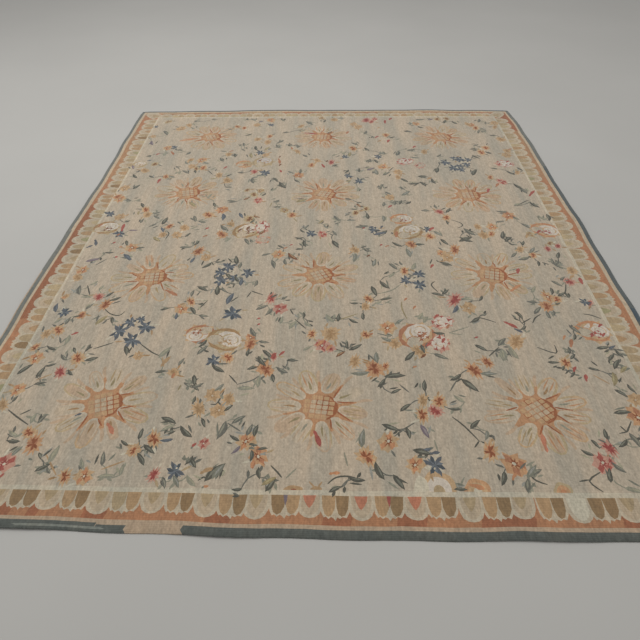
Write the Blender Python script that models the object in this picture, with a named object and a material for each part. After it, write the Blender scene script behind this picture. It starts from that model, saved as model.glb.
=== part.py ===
"""Flat-woven tapestry rug, nominally 8 by 10 feet, lying on a floor.

The rug is woven in one piece, so it is one thin closed solid: its field, its scalloped
border and its dark outer band are colours of one cloth and are not separate pieces.
The solid has the rug's own uneven outline, and its edges ripple off the floor by a few
millimetres in the places listed below. Its middle lies flat.

Frame: origin on the floor under the middle of the rug's box, X across the rug, Y along
it, away from the viewer, Z up. Blender units are metres.
"""

import math

import bmesh
import bpy
from mathutils import Vector

WIDTH = 2.47
LENGTH = 3.05
THICKNESS = 0.003
RIM_ROUNDING = 0.0012
CORNER_ROUNDING = 0.006

STATION_SPACING = 0.05
RING_INSETS = (0.012, 0.035, 0.075, 0.13, 0.2, 0.28)
OUTLINE_FADE = 0.27

# How far each edge strays outwards from the straight rectangle.
# Columns: place along the edge from its middle, offset outwards. Metres.
EDGE_STRAY = {
    "near": (
        (-1.235, -0.026),
        (-0.90, -0.022),
        (-0.55, -0.012),
        (-0.20, -0.002),
        (0.25, 0.002),
        (0.80, -0.001),
        (1.235, 0.003),
    ),
    "right": (
        (-1.525, 0.002),
        (-0.95, -0.001),
        (-0.30, 0.001),
        (0.00, 0.002),
        (0.30, -0.003),
        (0.90, -0.004),
        (1.20, -0.008),
        (1.525, -0.026),
    ),
    "far": (
        (-1.235, -0.016),
        (-0.70, -0.003),
        (-0.10, 0.007),
        (0.45, 0.006),
        (0.90, 0.000),
        (1.235, -0.008),
    ),
    "left": (
        (-1.525, -0.002),
        (-0.85, -0.008),
        (-0.30, -0.005),
        (0.00, -0.002),
        (0.35, -0.009),
        (0.70, -0.006),
        (1.20, 0.005),
        (1.525, 0.008),
    ),
}

# Small even waver of the woven edge: amplitude and wave length. Metres.
WAVER_HEIGHT = 0.0015
WAVER_LENGTH = 0.31

# Where the edge ripples up off the floor.
# Columns: edge, place of the crest along the edge, half width of the ripple,
# height of the crest, how far the ripple reaches into the rug. Metres.
RIPPLES = (
    ("right", 0.16, 0.26, 0.0070, 0.22),
    ("right", -0.55, 0.20, 0.0045, 0.16),
    ("right", 0.92, 0.22, 0.0035, 0.15),
    ("left", 0.95, 0.24, 0.0040, 0.16),
    ("left", 0.28, 0.20, 0.0060, 0.18),
    ("left", -0.42, 0.26, 0.0065, 0.20),
    ("near", -0.86, 0.22, 0.0045, 0.15),
    ("near", -0.28, 0.18, 0.0030, 0.12),
    ("near", 0.62, 0.24, 0.0025, 0.12),
    ("far", -0.40, 0.28, 0.0035, 0.15),
    ("far", 0.66, 0.24, 0.0030, 0.15),
)

WOOL_COLOUR = (0.50, 0.42, 0.31, 1.0)
WOOL_ROUGHNESS = 0.95


def smooth_step(share):
    """An S-shaped rise from 0 to 1 as share goes from 0 to 1."""
    share = min(max(share, 0.0), 1.0)
    return share * share * (3.0 - 2.0 * share)


def stray(edge, place):
    """Outward offset of an edge at a place along it, smooth between the table's rows."""
    rows = EDGE_STRAY[edge]
    waver = WAVER_HEIGHT * math.sin(2.0 * math.pi * place / WAVER_LENGTH)
    if place <= rows[0][0]:
        return rows[0][1]
    for (start, low), (end, high) in zip(rows, rows[1:]):
        if place <= end:
            share = smooth_step((place - start) / (end - start))
            return low + (high - low) * share + waver
    return rows[-1][1]


def edge_distances(x, y):
    """For each edge, its name, the distance to it and the place along it."""
    return (
        ("near", y + LENGTH / 2, x),
        ("right", WIDTH / 2 - x, y),
        ("far", LENGTH / 2 - y, x),
        ("left", x + WIDTH / 2, y),
    )


def lift(x, y):
    """Height of the rug's underside over the floor at a point of the straight rectangle."""
    height = 0.0
    for edge, distance, place in edge_distances(x, y):
        for name, crest, half_width, top, reach in RIPPLES:
            if name != edge or distance >= reach:
                continue
            along = smooth_step(1.0 - abs(place - crest) / half_width)
            inwards = smooth_step(1.0 - distance / reach)
            height += top * along * inwards
    return height


def strayed(x, y):
    """The point of the uneven rug that a point of the straight rectangle moves to."""
    outwards = {
        "near": Vector((0.0, -1.0)),
        "right": Vector((1.0, 0.0)),
        "far": Vector((0.0, 1.0)),
        "left": Vector((-1.0, 0.0)),
    }
    moved = Vector((x, y))
    for edge, distance, place in edge_distances(x, y):
        fade = smooth_step(1.0 - distance / OUTLINE_FADE)
        moved += outwards[edge] * stray(edge, place) * fade
    return moved


def ring_stations(inset):
    """Points of the straight rectangle at this inset, anticlockwise from the near left corner."""
    half_x = WIDTH / 2 - inset
    half_y = LENGTH / 2 - inset
    across = round(WIDTH / STATION_SPACING)
    along = round(LENGTH / STATION_SPACING)
    corners = (
        ((-half_x, -half_y), (half_x, -half_y), across),
        ((half_x, -half_y), (half_x, half_y), along),
        ((half_x, half_y), (-half_x, half_y), across),
        ((-half_x, half_y), (-half_x, -half_y), along),
    )
    points = []
    for start, end, steps in corners:
        for step in range(steps):
            point = Vector(start).lerp(Vector(end), step / steps)
            if step == 0:
                inwards = Vector((-math.copysign(1, start[0]), -math.copysign(1, start[1])))
                point += inwards * CORNER_ROUNDING * smooth_step(1.0 - inset / RING_INSETS[1])
            points.append(point)
    return points


def add_ring(mesh, inset, height):
    """A ring of vertices at this inset, this far over the rug's underside."""
    ring = []
    for point in ring_stations(inset):
        place = strayed(point.x, point.y)
        ring.append(mesh.verts.new((place.x, place.y, lift(point.x, point.y) + height)))
    return ring


def bridge(mesh, first, second):
    """Quads between two rings of the same number of vertices."""
    count = len(first)
    for i in range(count):
        j = (i + 1) % count
        mesh.faces.new((first[i], first[j], second[j], second[i]))


def box_middle(mesh):
    """Middle of the mesh's box in X and Y."""
    xs = [vertex.co.x for vertex in mesh.verts]
    ys = [vertex.co.y for vertex in mesh.verts]
    return Vector(((min(xs) + max(xs)) / 2, (min(ys) + max(ys)) / 2, 0.0))


def build_rug_mesh():
    """The woven sheet: flat middle, rippled margin and a rounded rim, as one closed mesh."""
    mesh = bmesh.new()
    rim = add_ring(mesh, 0.0, THICKNESS / 2)
    top = [add_ring(mesh, RIM_ROUNDING, THICKNESS)]
    bottom = [add_ring(mesh, RIM_ROUNDING, 0.0)]
    for inset in RING_INSETS:
        top.append(add_ring(mesh, inset, THICKNESS))
        bottom.append(add_ring(mesh, inset, 0.0))
    bridge(mesh, rim, top[0])
    bridge(mesh, bottom[0], rim)
    for outer, inner in zip(top, top[1:]):
        bridge(mesh, outer, inner)
    for outer, inner in zip(bottom, bottom[1:]):
        bridge(mesh, inner, outer)
    mesh.faces.new(top[-1])
    mesh.faces.new(list(reversed(bottom[-1])))
    bmesh.ops.translate(mesh, verts=mesh.verts, vec=-box_middle(mesh))
    bmesh.ops.recalc_face_normals(mesh, faces=mesh.faces)
    data = bpy.data.meshes.new("rug")
    mesh.to_mesh(data)
    mesh.free()
    return data


def wool_material():
    """Undyed warp covered with wool weft: matt and warm beige overall."""
    material = bpy.data.materials.new("woven_wool")
    material.use_nodes = True
    shader = material.node_tree.nodes["Principled BSDF"]
    shader.inputs["Base Color"].default_value = WOOL_COLOUR
    shader.inputs["Roughness"].default_value = WOOL_ROUGHNESS
    shader.inputs["Metallic"].default_value = 0.0
    return material


def main():
    for old in list(bpy.data.objects):
        bpy.data.objects.remove(old)
    rug = bpy.data.objects.new("rug", build_rug_mesh())
    rug.data.shade_smooth()
    rug.data.set_sharp_from_angle(angle=math.radians(40))
    rug.data.materials.append(wool_material())
    bpy.context.scene.collection.objects.link(rug)


main()
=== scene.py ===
"""Flat-woven tapestry rug, nominally 8 by 10 feet, lying on a floor.

The rug is one sheet of wool tapestry. Its pattern is drawn flat as overlapping shapes,
each in one dye, charted in millimetres from the middle of the rug. The shapes are merged
into one sheet of triangles, so every change of colour is an edge in the mesh, and the
sheet is laid on the CAD rug. X runs across the rug, Y along it, away from the viewer.
"""

import math
import random

import bmesh
import bpy
import numpy as np
from mathutils import Matrix, Vector, geometry, noise
from mathutils.bvhtree import BVHTree


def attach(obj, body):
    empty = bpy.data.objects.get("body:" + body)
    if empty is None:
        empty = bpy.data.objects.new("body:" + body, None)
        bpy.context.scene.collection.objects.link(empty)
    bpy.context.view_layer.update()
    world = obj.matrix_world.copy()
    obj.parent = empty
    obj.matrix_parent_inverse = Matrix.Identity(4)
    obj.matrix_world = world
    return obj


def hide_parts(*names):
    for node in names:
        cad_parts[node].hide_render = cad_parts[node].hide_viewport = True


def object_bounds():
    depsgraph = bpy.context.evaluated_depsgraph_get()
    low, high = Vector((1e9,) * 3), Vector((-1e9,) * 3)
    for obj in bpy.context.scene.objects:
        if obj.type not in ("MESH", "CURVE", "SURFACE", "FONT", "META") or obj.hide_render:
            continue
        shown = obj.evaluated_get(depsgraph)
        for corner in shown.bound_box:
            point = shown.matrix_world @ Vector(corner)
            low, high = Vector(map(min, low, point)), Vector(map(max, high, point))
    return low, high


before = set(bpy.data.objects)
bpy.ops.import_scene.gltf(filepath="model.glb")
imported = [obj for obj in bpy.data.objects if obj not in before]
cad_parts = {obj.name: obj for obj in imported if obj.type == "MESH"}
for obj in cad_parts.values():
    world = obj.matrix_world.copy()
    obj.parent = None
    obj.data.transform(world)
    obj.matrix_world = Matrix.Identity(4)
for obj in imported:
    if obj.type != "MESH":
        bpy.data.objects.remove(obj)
CAD_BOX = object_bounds()

bl_info = {
    "name": "Flat-woven tapestry rug",
    "version": (1, 0, 0),
    "blender": (4, 5, 0),
    "location": "3D View > Sidebar > Rug",
    "description": "Weaves a flat tapestry rug with sunflowers, flowering sprays and a petal border",
    "category": "Add Mesh",
}

MM = 0.001

# Middle of the CAD rug's box, seen from the middle of the straight rectangle. Metres.
CHART_MIDDLE = Vector((-0.0020, 0.0026))

# Depth of the border's lines from the rug's edge, in mm: where the dark band ends,
# where the beige guard ends, where the petals end and where the ivory line ends.
BORDER_LINES = {
    "near": (28, 41, 134, 151),
    "right": (21, 38, 131, 144),
    "far": (18, 35, 108, 124),
    "left": (21, 36, 127, 138),
}

# Direction in which a border petal points on each side. Degrees from +Y.
PETAL_TURNS = {"near": 180.0, "right": -90.0, "far": 0.0, "left": 90.0}

# Direction of the petal at each corner of the border. Degrees from +Y.
CORNER_PETALS = {
    ("left", "near"): 135.0,
    ("right", "near"): 225.0,
    ("right", "far"): -45.0,
    ("left", "far"): 45.0,
}

# Stretches of border in their own dye, drawn over the beige guard or the terracotta.
# The last row is painted highlight: a pale strip of guard dye along the left edge's outer rim, where it
# curls and catches the light.
DARK_BAND = (
    ("right", -1540, 1540, 10, 60, "guard_light"),
    ("left", -1540, 1540, 10, 60, "guard_light"),
    ("far", -1260, 1260, 10, 60, "guard_light"),
    ("near", -1260, -1010, -20, 29, "band_near"),
    ("near", -1010, -620, -20, 29, "band_near"),
    ("near", -620, -535, -20, 24, "band_near"),
    ("near", -375, 1260, -20, 28, "band_near"),
    ("right", -1540, -620, -20, 21, "band_near"),
    ("right", -620, -540, -20, 21, "band_blue"),
    ("right", -540, 700, -20, 21, "band_right"),
    ("right", 700, 1540, -20, 23, "band_left"),
    ("left", -1540, 30, -20, 24, "band_left"),
    ("left", 30, 1540, -20, 19, "band_left"),
    ("far", -1260, 200, -20, 18, "band_right"),
    ("far", 200, 1260, -20, 16, "band_right"),
    ("near", -850, -600, 10, 17, "band_speckle"),
    ("right", -1400, -700, 2, 7, "band_speckle"),
    # Painted highlight: a pale strip along the left edge's outer rim, lit where the hem curls.
    ("left", -1500, -300, 0, 6, "guard"),
)
RUST_STRETCHES = (
    ("near", -940, -880, 41, 110, "rust_dark"),
    ("near", -830, -800, 41, 110, "rust_dark"),
    ("near", -672, -606, 41, 110, "rust_dark"),
    ("near", -322, -250, 41, 110, "rust_dark"),
    ("near", 8, 88, 41, 110, "rust_dark"),
    ("near", 217, 299, 41, 110, "rust_dark"),
    ("near", 450, 602, 41, 110, "rust_dark"),
    ("near", 842, 900, 41, 110, "rust_dark"),
    ("right", -980, -870, 40, 110, "rust_dark"),
    ("right", 560, 1180, 38, 90, "terracotta_faded"),
    ("left", -620, 260, 35, 110, "terracotta_deep"),
    ("right", 1180, 1490, 35, 110, "terracotta_deep"),
    ("left", 560, 1180, 35, 90, "terracotta_faded"),
    ("far", -1100, -820, 35, 90, "terracotta_faded"),
    ("far", -520, -300, 35, 90, "tan"),
    ("far", -60, 240, 35, 90, "terracotta_faded"),
    ("far", 330, 620, 35, 90, "tan"),
    ("far", 700, 880, 35, 90, "terracotta_faded"),
)

# Places of the single border petals along each side: first, step and count, in mm.
SINGLE_PETALS = {
    "near": (-1085, 151.5, 15),
    "right": (-1350, 158.5, 18),
    "far": (-1060, 151.5, 15),
    "left": (-1290, 154.5, 18),
}

# Dyes of the wedge in each single petal, and of the double petals' two lobes and bud,
# in turn along each side.
SINGLE_WEDGES = {
    "near": (
        "khaki", "khaki", "khaki", "khaki", "khaki", "khaki", "khaki", "salmon",
        "salmon", "salmon", "khaki", "khaki", "cream", "khaki", "khaki",
    ),
    "right": ("khaki", "khaki_light", "khaki", "khaki", "tan", "khaki_green", "khaki"),
    "far": ("khaki", "khaki_light", "tan", "khaki_light"),
    "left": ("khaki", "khaki", "khaki_green", "khaki_light", "tan", "khaki"),
}
DOUBLE_LOBES = {
    "near": (
        ("tan", "khaki", "khaki"), ("petal_brown", "petal_brown", "khaki"),
        ("petal_brown", "tan", "khaki"), ("tan", "khaki", "khaki"),
        ("petal_brown", "tan", "khaki"), ("petal_brown", "tan", "khaki"),
        ("tan", "petal_brown", "mauve"), ("petal_brown", "tan", "khaki"),
        ("petal_brown", "tan", "crimson"), ("petal_brown", "tan", "khaki"),
        ("petal_brown", "tan", "khaki"), ("petal_brown", "tan", "khaki"),
        ("petal_brown", "petal_brown", "khaki"), ("tan", "khaki", "khaki"),
        ("petal_brown", "tan", "khaki"),
    ),
    "right": (
        ("khaki", "khaki_light", "khaki"), ("tan", "khaki", "khaki"),
        ("khaki_light", "tan", "khaki"), ("khaki", "khaki", "khaki"),
    ),
    "far": (
        ("khaki_light", "khaki", "khaki"), ("tan", "khaki_light", "khaki"),
        ("khaki_light", "khaki_light", "khaki"),
    ),
    "left": (
        ("tan", "khaki", "khaki"), ("khaki", "khaki_light", "khaki"), ("tan", "tan", "khaki"),
        ("petal_brown", "khaki", "khaki"),
    ),
}

# Sunflowers: middle, turn of the first petal, and share of peach petals.
SUNFLOWERS = (
    (-729, -1053, 12, 0.3), (-6, -1059, -5, 0.15), (713, -1066, 20, 0.35),
    (-736, -342, 4, 0.5), (-19, -324, 17, 0.35), (720, -321, -9, 0.4),
    (-721, 393, 9, 0.6), (-6, 383, -14, 0.55), (740, 372, 2, 0.5),
    (-712, 1097, 15, 0.6), (-27, 1095, -3, 0.6), (703, 1091, 11, 0.6),
)

# Leaves: middle, turn in degrees and length, by dye. Millimetres.
LEAVES = {
    "slate": (
        (-1061, -893, 54, 55), (-979, -870, 20, 35), (-1000, -907, 78, 50), (-981, -961, 15, 36),
        (-893, -907, -48, 33), (-837, -840, 22, 40), (-1038, -1033, 70, 25), (-972, -1206, -3, 40),
        (-865, -1262, -60, 24), (-839, -1306, 35, 40), (-615, -1210, -35, 30), (-573, -1175, 85, 38),
        (-571, -902, 10, 35), (-370, -881, -38, 58), (-444, -942, -78, 46), (-435, -978, -40, 34),
        (-430, -1032, 80, 30), (-307, -1066, 45, 32), (-496, -1120, -25, 52), (-430, -1164, -45, 56),
        (-380, -1129, -65, 36), (-206, -1159, 80, 42), (-271, -1187, -35, 36), (-209, -1214, -10, 24),
        (-178, -1229, 10, 26), (-212, -1255, 88, 36), (-533, -1234, -40, 46), (-550, -1272, -55, 46),
        (-400, -1274, 60, 32), (-384, -1284, -60, 34), (-313, -1316, 50, 72), (-180, -1316, -80, 36),
        (-143, -1358, 60, 44), (48, -1370, 25, 36), (-241, -1372, 0, 26), (-169, -930, -80, 36),
        (-246, -881, 20, 36), (-213, -848, -60, 44), (-106, -841, 0, 36), (258, -916, 5, 66),
        (207, -949, 55, 42), (256, -986, 30, 36), (357, -961, 86, 46), (469, -919, 35, 46),
        (513, -958, -50, 68), (282, -1059, 40, 44), (441, -1061, -5, 38), (228, -1143, -25, 54),
        (279, -1164, -80, 42), (181, -1304, -70, 58), (235, -1344, -60, 50), (499, -1127, 45, 46),
        (543, -1328, 70, 46), (317, -1237, -15, 52), (413, -1367, 0, 32), (110, -1334, -12, 44),
        (830, -844, 0, 36), (858, -872, 60, 22), (879, -902, 50, 32), (963, -877, -20, 36),
        (1052, -851, 55, 50), (1059, -965, -70, 36), (1017, -989, -45, 40), (989, -1074, 5, 50),
        (944, -1197, 40, 40), (903, -1161, 85, 36), (857, -1201, -65, 32), (822, -1232, -35, 36),
        (862, -1313, 75, 46), (-881, -463, 55, 36), (-853, -491, 30, 46), (-825, -626, -75, 36),
        (-972, -603, 20, 22), (-1007, -782, -30, 40), (-917, -794, -65, 26), (-839, -841, 25, 40),
        (-872, -782, 80, 36), (-631, -554, 20, 36), (-725, -796, -70, 46), (-515, -255, 50, 50),
        (-389, -213, 100, 60), (-410, -334, -60, 40), (-368, -353, -60, 40), (-440, -432, 95, 60),
        (-505, -423, -35, 50), (-76, -591, 95, 32), (-491, -526, -20, 26), (-519, -565, -60, 46),
        (-447, -754, 60, 40), (-272, -800, 85, 36), (-200, -810, -50, 50), (-218, -843, -60, 50),
        (62, -603, 85, 40), (160, -593, 88, 40), (120, -621, -35, 40), (125, -771, 35, 50),
        (94, -759, 88, 36), (442, -689, -10, 40), (321, -815, 50, 56), (371, -778, -80, 40),
        (258, -390, -55, 60), (211, -435, -75, 60), (258, -486, 15, 46), (125, -512, 0, 32),
        (505, -438, 45, 40), (470, -456, -20, 46), (592, -614, 35, 46), (587, -771, -40, 46),
        (536, -241, -25, 46), (938, -236, 80, 36), (977, -451, 35, 40), (996, -458, -75, 32),
        (940, -432, 80, 40), (944, -512, 30, 22), (772, -586, -75, 40), (767, -659, 35, 32),
        (905, -782, 80, 32), (909, -815, 50, 32), (947, -708, 70, 32), (1035, -766, 8, 46),
        (1047, -817, 50, 40), (1082, -796, -70, 40), (-1010, 460, 60, 50), (-930, 264, -65, 46),
        (-967, 110, 30, 30), (-916, -81, -70, 40), (-842, -121, 15, 36), (-974, -156, 0, 36),
        (-781, 115, 80, 60), (-643, -11, 60, 34), (-592, -81, 65, 40), (-562, 269, -75, 40),
        (-515, 456, 0, 32), (-321, 376, 60, 32), (-351, 113, 60, 32), (-113, -39, 25, 32),
        (-88, -81, -80, 50), (-111, -128, 0, 32), (-197, -111, -40, 36), (-104, 26, -50, 32),
        (52, -86, -65, 60), (386, 297, 70, 40), (421, 292, 40, 40), (211, 162, 95, 50),
        (291, 17, 70, 32), (335, -86, -40, 50), (440, -86, 0, 40), (181, -109, 30, 26),
        (193, -137, -40, 26), (554, -67, -60, 50), (657, -44, 30, 70), (657, -44, -35, 60),
        (615, 217, 60, 46), (592, 101, -85, 32), (1056, 273, -60, 60), (835, -6, 75, 60),
        (853, -44, 45, 50), (858, -83, -40, 22), (912, -76, 65, 36), (1045, -174, 70, 46),
        (1087, 147, 88, 56), (-867, 912, -10, 32), (-1033, 835, 40, 30), (-1049, 583, -55, 50),
        (-956, 574, -40, 36), (-727, 635, -75, 36), (-415, 940, -80, 52), (-221, 985, 88, 40),
        (-531, 840, -80, 46), (-468, 625, -10, 40), (-531, 593, 50, 36), (-272, 541, -60, 46),
        (-228, 480, -60, 70), (-153, 523, -45, 40), (52, 709, 30, 36), (400, 1090, 30, 40),
        (242, 919, -60, 46), (286, 760, -70, 46), (116, 639, 60, 36), (186, 653, 88, 40),
        (426, 532, -50, 50), (473, 500, 10, 60), (531, 574, -10, 50), (522, 490, -65, 50),
        (582, 523, -75, 50), (620, 653, 75, 60), (872, 919, 0, 46), (947, 872, -50, 40),
        (863, 816, -50, 50), (821, 625, 65, 70), (938, 672, -20, 36), (1017, 616, -50, 50),
        (1077, 663, -60, 40), (1021, 466, -60, 60), (-734, 1372, 10, 32), (-517, 1374, -75, 32),
        (-484, 1132, 40, 44), (-251, 1162, 10, 40), (-11, 1342, 75, 36), (596, 1244, -40, 40),
        (508, 1174, -20, 50), (760, 1328, 75, 50), (821, 1314, -60, 50), (1024, 1113, 0, 40),
        (-200, -470, 40, 30), (640, -480, 60, 34), (-240, 250, 10, 34), (120, 330, -30, 34),
    ),
    "grey": (
        (-912, -1117, 65, 36), (-818, -1313, -55, 26), (-666, -1270, 100, 46), (-507, -852, 70, 36),
        (-430, -965, 30, 40), (-463, -964, -35, 32), (-267, -1115, 40, 46), (-318, -1157, 75, 66),
        (-227, -1155, 75, 42), (-461, -1353, -70, 36), (-141, -888, -35, 46), (592, -902, 0, 36),
        (986, -1185, -75, 50), (898, -1285, -50, 40), (611, -1350, 75, 40), (648, -1306, 30, 36),
        (-1017, -433, -75, 56), (-942, -540, 60, 36), (-998, -628, 85, 36), (-942, -831, -45, 40),
        (-459, -229, 20, 36), (-365, -255, 80, 40), (-412, -428, -55, 36), (-396, -386, 50, 36),
        (-540, -453, 85, 36), (-286, -386, 80, 40), (-158, -481, 45, 28), (-244, -544, 30, 46),
        (-216, -570, 60, 46), (-470, -596, -10, 36), (-440, -790, 55, 50), (-263, -689, -65, 50),
        (-218, -745, -10, 36), (-223, -246, -75, 56), (-169, -227, -80, 40), (433, -817, -30, 50),
        (302, -260, -55, 50), (340, -236, -70, 28), (634, -582, 25, 28), (671, -738, 50, 50),
        (886, -197, 20, 50), (1005, -219, 85, 40), (1019, -258, -50, 40), (1019, -228, 50, 40),
        (1012, -344, 45, 32), (977, -381, -50, 46), (844, -500, -10, 40), (851, -554, 50, 50),
        (886, -582, 95, 40), (909, -570, 80, 28), (961, -666, -60, 50), (-1016, 320, -40, 36),
        (-839, 194, 20, 32), (-828, 148, -40, 40), (-893, 115, 80, 36), (-834, 77, 45, 40),
        (-706, 96, -50, 28), (-639, 134, -75, 50), (-597, 108, -20, 36), (-634, -114, 0, 50),
        (-477, 307, -10, 50), (-480, 54, -50, 60), (-358, -67, -65, 50), (-260, -172, 25, 36),
        (62, 143, -55, 50), (64, 96, 35, 28), (48, 3, -60, 36), (-251, 311, 35, 36),
        (293, 456, 60, 40), (328, 390, -45, 40), (410, 446, -60, 36), (298, 278, 80, 40),
        (356, 292, 85, 40), (144, 231, -5, 36), (113, 175, 40, 28), (181, 64, 10, 60),
        (557, 255, -80, 36), (503, 213, -5, 40), (1036, 418, -70, 60), (877, 208, -10, 50),
        (933, 143, -50, 36), (849, 110, 15, 40), (685, 22, -55, 70), (849, -170, 50, 40),
        (961, 73, -55, 46), (-811, 868, 60, 40), (-834, 686, -50, 36), (-779, 630, -40, 50),
        (-597, 784, -60, 50), (-606, 896, -10, 32), (-496, 985, -80, 46), (-491, 919, -40, 32),
        (-286, 957, -60, 50), (-171, 960, -85, 40), (-391, 532, -80, 60), (-193, 625, -40, 36),
        (-139, 640, 88, 46), (-120, 835, -50, 40), (286, 1092, -75, 36), (172, 993, -45, 50),
        (246, 769, 75, 46), (419, 868, 75, 60), (503, 910, 20, 50), (652, 835, 50, 40),
        (335, 611, 45, 50), (298, 466, 60, 46), (890, 975, 30, 36), (-839, 1347, -10, 40),
        (-1007, 1160, -60, 66), (-610, 1216, -30, 32), (-286, 1363, -60, 50), (-111, 1309, -50, 66),
        (239, 1160, 70, 50), (606, 1363, 10, 56), (1017, 1305, 80, 40), (-280, 1030, 50, 50),
        (975, 1174, 20, 34), (947, 1170, 75, 46), (977, 1342, 70, 50),
    ),
    "sage": (
        (-942, -1115, 85, 40), (-984, -1176, -30, 40), (-823, -1255, 80, 60), (-638, -1334, 5, 46),
        (-723, -1288, -65, 36), (-597, -1310, 90, 36), (-490, -1150, 30, 40), (-380, -1345, -50, 44),
        (-260, -977, 0, 52), (-217, -945, 88, 50), (466, -1017, -45, 42), (917, -1364, -15, 50),
        (-979, -479, 10, 32), (-974, -386, 50, 36), (-932, -418, 75, 32), (-1037, -631, 50, 32),
        (-965, -740, 90, 50), (-578, -801, 60, 60), (-113, -647, 60, 50), (-57, -640, -55, 40),
        (-160, -619, 80, 40), (-53, -778, 40, 36), (29, -607, -60, 50), (384, -591, 60, 40),
        (403, -614, 60, 40), (223, -507, 30, 32), (587, -484, -10, 40), (659, -810, 80, 50),
        (702, -792, -75, 66), (393, -260, 70, 50), (293, -325, 50, 40), (660, -806, 88, 56),
        (-625, 54, 40, 32), (-447, -53, 50, 36), (-274, 432, 50, 40), (-946, 863, 88, 50),
        (-965, 320, 40, 32), (1060, 147, -60, 50), (972, 278, 30, 40), (438, 1060, 30, 34),
        (-634, 672, 50, 36), (-821, 630, 40, 34), (52, 844, 40, 38), (104, 872, 50, 36),
        (870, -420, 60, 44), (-600, 360, 70, 44), (170, 430, 80, 44), (-150, 1190, 40, 44),
    ),
    "teal": (
        (-942, -1245, 60, 36), (-353, -974, 50, 38), (-304, -1311, 60, 52), (-425, -1350, -60, 40),
        (135, -900, 5, 58), (588, -902, 0, 52), (135, -1185, 82, 62), (525, -1171, 70, 36),
        (635, -1302, 50, 50), (614, -1349, 75, 48), (242, -726, -30, 40), (302, -621, 40, 38),
        (200, -824, 90, 50), (134, -200, 85, 50), (223, -232, 75, 50), (-88, 57, 60, 36),
        (8, 64, -60, 36), (421, 390, 45, 60), (130, 122, 0, 40), (286, 138, 90, 50),
        (536, 3, -50, 50), (379, -156, -80, 60), (137, -188, 85, 50), (940, -133, 55, 50),
        (-844, 572, -20, 36), (-795, 746, -60, 40), (-683, 742, -40, 40), (-356, 588, -10, 40),
        (-386, 570, 30, 36), (316, 868, 85, 40), (337, 868, 95, 40), (512, 812, -15, 50),
        (281, 630, 95, 60), (207, 543, -40, 36), (-849, 1235, -50, 36), (-475, 1363, -50, 50),
        (97, 1388, 10, 36), (531, 1300, 88, 46), (980, 1210, -50, 46),
    ),
    "navy": (
        (-881, -199, -50, 50), (-1072, -549, -80, 50), (-578, -598, 95, 36), (-582, -215, 75, 40),
        (-433, -348, -60, 50), (-347, -374, 85, 46), (-379, -488, 75, 66), (526, -549, 60, 46),
        (-881, -193, -45, 56), (-776, 35, -65, 40), (-503, 152, 95, 58), (-414, 166, -65, 46),
        (263, 3, 20, 58), (-486, -1197, 10, 36), (1068, -764, 30, 30), (330, -1229, 20, 30),
    ),
    "olive": (
        (-867, -624, 60, 56), (-928, 190, -80, 32), (-783, -48, -45, 50), (-676, 273, -50, 56),
        (-20, 110, 55, 36), (-120, 315, 30, 58), (141, 853, 80, 50), (-433, 840, -80, 56),
        (-351, 933, 60, 44), (-611, 553, 20, 32), (123, 527, 30, 32), (-148, -1344, 35, 42),
        (1068, -877, 45, 40), (1014, -923, 75, 58),
    ),
    "umber": (
        (69, -808, 40, 36), (-134, -190, -50, 50), (-335, 154, -30, 32), (-293, 12, 50, 40),
        (-141, -182, -50, 56), (172, 264, -60, 36), (-403, 334, 40, 36), (20, 1160, 60, 40),
    ),
    "mauve": (
        (-1030, -218, 20, 56), (-262, -1233, 50, 32), (334, -1157, -70, 48), (-914, 28, 0, 36),
        (-1056, 1012, -70, 56), (-1089, 691, -70, 40), (-424, 1337, 40, 32), (671, 1365, 30, 36),
        (251, 667, 40, 46),
    ),
}

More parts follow.
